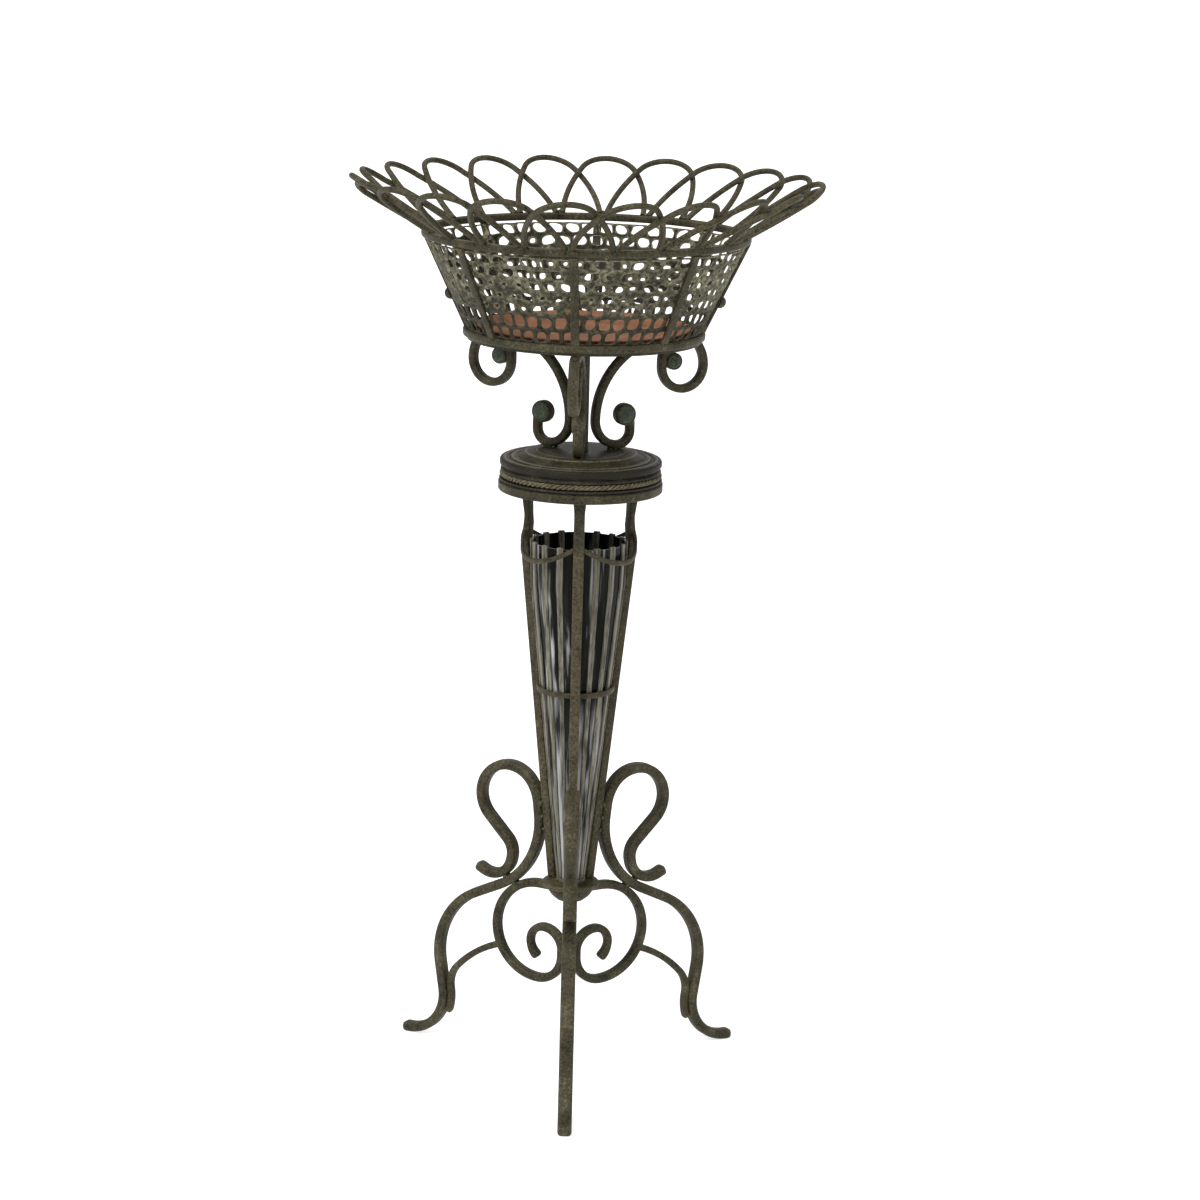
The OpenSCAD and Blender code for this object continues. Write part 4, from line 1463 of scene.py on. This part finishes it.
@dataclass
class Rim:
    """The interlaced wire arches. Sizes in millimetres."""

    count: int = 22
    wire: float = 7.0
    ring_r: float = 188.5
    ring_z: float = 1034.5
    rim_r: float = 275.0
    rim_z: float = 1093.0
    top_r: float = 36.0
    side_r: float = 200.0
    seat_gap: float = 0.2
    bead_r: float = 3.4
    turn: float = -6.0

    def points(self) -> list[Point]:
        """Returns one arch's path in metres, facing +X: a long bend, the top bend, a long bend."""
        spread = math.radians(360 / self.count)
        spread -= (self.wire + 4 * self.seat_gap) / 2 / self.ring_r
        half, back = self.ring_r * math.sin(spread), self.ring_r * math.cos(spread)
        up, out = self.rim_z - self.ring_z, self.rim_r - back
        centre = math.hypot(up, out) - self.top_r
        more = self.side_r - self.top_r
        end = math.atan2(half, centre) + math.asin(
            (centre ** 2 + half ** 2 + more ** 2 - self.side_r ** 2)
            / (2 * more * math.hypot(centre, half)))
        twist = math.asin((self.wire + 6 * self.seat_gap) / 2 / (self.top_r * math.cos(end)))

        def bend(a: float) -> Vector:
            """Returns a point of the twisted top bend."""
            y = self.top_r * math.cos(a)
            return Vector((centre + self.top_r * math.sin(a), y * math.cos(twist),
                           y * math.sin(twist)))

        join = bend(end)
        tilt = math.atan2(join.z, join.x)
        foot, head = Vector((0, half)), Vector((join.x / math.cos(tilt), join.y))
        chord = head - foot
        off = math.sqrt(self.side_r ** 2 - chord.length ** 2 / 4)
        hub = (head + foot) / 2 - off * Vector((-chord.y, chord.x)) / chord.length
        low = math.atan2(foot.x - hub.x, foot.y - hub.y) - 0.008
        high = math.atan2(head.x - hub.x, head.y - hub.y)
        side = []
        for k in range(13):
            a = low + (high - low) * k / 12
            side.append((hub.x + self.side_r * math.sin(a), hub.y + self.side_r * math.cos(a)))
        path = [Vector((u * math.cos(tilt), -v, -u * math.sin(tilt))) for u, v in side]
        path += [bend(math.pi - end - (math.pi - 2 * end) * k / 24) for k in range(1, 24)]
        path += [Vector((u * math.cos(tilt), v, u * math.sin(tilt))) for u, v in reversed(side)]
        place = (Matrix.Translation((back * MM, 0, self.ring_z * MM))
                 @ Matrix.Rotation(-math.atan2(up, out), 4, "Y"))
        return [tuple(place @ (p * MM)) for p in path]

    def build(self) -> None:
        """Builds all the arches as one piece with a weld at each foot."""
        wires = WIRE.run(line_mesh("arch.path", self.points()), "rim_wires", IRON,
                         Diameter=self.wire * MM, Sides=14, Copies=self.count,
                         First_Turn=facing(self.turn), Turn_Step=2 * math.pi / self.count)
        arches = [f"rim_arch_{i + 1}" for i in range(self.count)]
        place_piece(wires, Body.BASKET, Slot.IRON, *arches)
        beads = [(self.ring_r + 1, self.turn + k * 360 / self.count, self.ring_z + 0.6)
                 for k in range(self.count)]
        weld("rim_welds", beads, self.bead_r, 23, Body.BASKET)


@dataclass
class Saucer:
    """The loose clay saucer. Sizes in millimetres."""

    radius: float = 127.0
    height: float = 13.0
    wall: float = 4.0
    base: float = 5.0
    z: float = 910.2

    def build(self) -> None:
        """Builds the saucer."""
        r, z = self.radius, self.z
        inner, top, floor = r - self.wall, z + self.height, z + self.base
        profile = [(0, z), (r - 10, z), (r - 7, z + 1), (r, top - 1), (r - 1, top),
                   (inner + 0.5, top), (inner - 7, floor + 2), (inner - 10, floor), (0, floor)]
        saucer = lathe("saucer_turning", profile, CLAY, bevel=0.8)
        place_piece(saucer, Body.SAUCER, Slot.CLAY, "saucer")


@dataclass
class Studio:
    """The ground, light and camera. Camera places in metres, angles in degrees."""

    eye: tuple = (0.0, -3.977, 1.491)
    pitch: float = 12.743
    yaw: float = 0.388
    roll: float = 1.5
    focal_px: float = 3400.0
    image_px: float = 1200.0
    sensor: float = 36.0
    ground: float = 60.0
    sky: float = 0.35

    def set_camera(self) -> None:
        """Sets the camera as the photograph has it."""
        y, p, r = (math.radians(v) for v in (self.yaw, self.pitch, self.roll))
        ahead = Vector((math.sin(y) * math.cos(p), math.cos(y) * math.cos(p), -math.sin(p)))
        right = Vector((math.cos(y), -math.sin(y), 0))
        up = right.cross(ahead)
        x_axis = right * math.cos(r) + up * math.sin(r)
        y_axis = up * math.cos(r) - right * math.sin(r)
        data = bpy.data.cameras.new("camera")
        data.sensor_fit = "HORIZONTAL"
        data.sensor_width = self.sensor
        data.lens = self.focal_px / self.image_px * self.sensor
        data.clip_end = 200.0
        camera = linked("camera", data)
        turn = Matrix((x_axis, y_axis, -ahead)).transposed().to_4x4()
        camera.matrix_world = Matrix.Translation(self.eye) @ turn
        bpy.context.scene.camera = camera

    def lamp(self, name: str, azimuth: float, height: float, spread: float, power: float) -> None:
        """Adds a broad distant lamp.

        Args:
            name: Its name.
            azimuth: Where it stands, in degrees from the front, positive to the right.
            height: How high it stands, in degrees.
            spread: How broad it looks, in degrees.
            power: Its strength in watts per square metre.
        """
        data = bpy.data.lights.new(name, "SUN")
        data.angle = math.radians(spread)
        data.energy = power
        turn, rise = math.radians(azimuth), math.radians(height)
        at = Vector((math.cos(rise) * math.sin(turn), -math.cos(rise) * math.cos(turn),
                     math.sin(rise)))
        linked(name, data).rotation_euler = at.to_track_quat("Z", "Y").to_euler()

    def build(self) -> None:
        """Builds the studio."""
        self.set_camera()
        s = self.ground
        face_mesh("ground", [(-s, -s, 0), (s, -s, 0), (s, s, 0), (-s, s, 0)],
                           [[0, 1, 2, 3]], GROUND)
        world = bpy.data.worlds.new("studio")
        world.use_nodes = True
        back = world.node_tree.nodes["Background"]
        back.inputs["Color"].default_value = (1.0, 1.0, 1.0, 1.0)
        back.inputs["Strength"].default_value = self.sky
        bpy.context.scene.world = world
        bpy.context.scene.view_settings.view_transform = "Standard"
        self.lamp("key", -38, 50, 45, 3.5)
        self.lamp("fill", 60, 30, 60, 0.7)
        self.lamp("back", 170, 35, 60, 0.6)


def main() -> None:
    """Builds the studio and every sub-assembly in order."""
    logging.basicConfig(level=logging.INFO, format="%(name)s: %(message)s")
    Studio().build()
    stand = Stand()
    stand.build_feet()
    stand.build_column()
    stand.build_vase()
    Turntable().build()
    ScrollArms().build()
    Basket().build()
    Rim().build()
    Saucer().build()


if __name__ == "__main__":
    main()
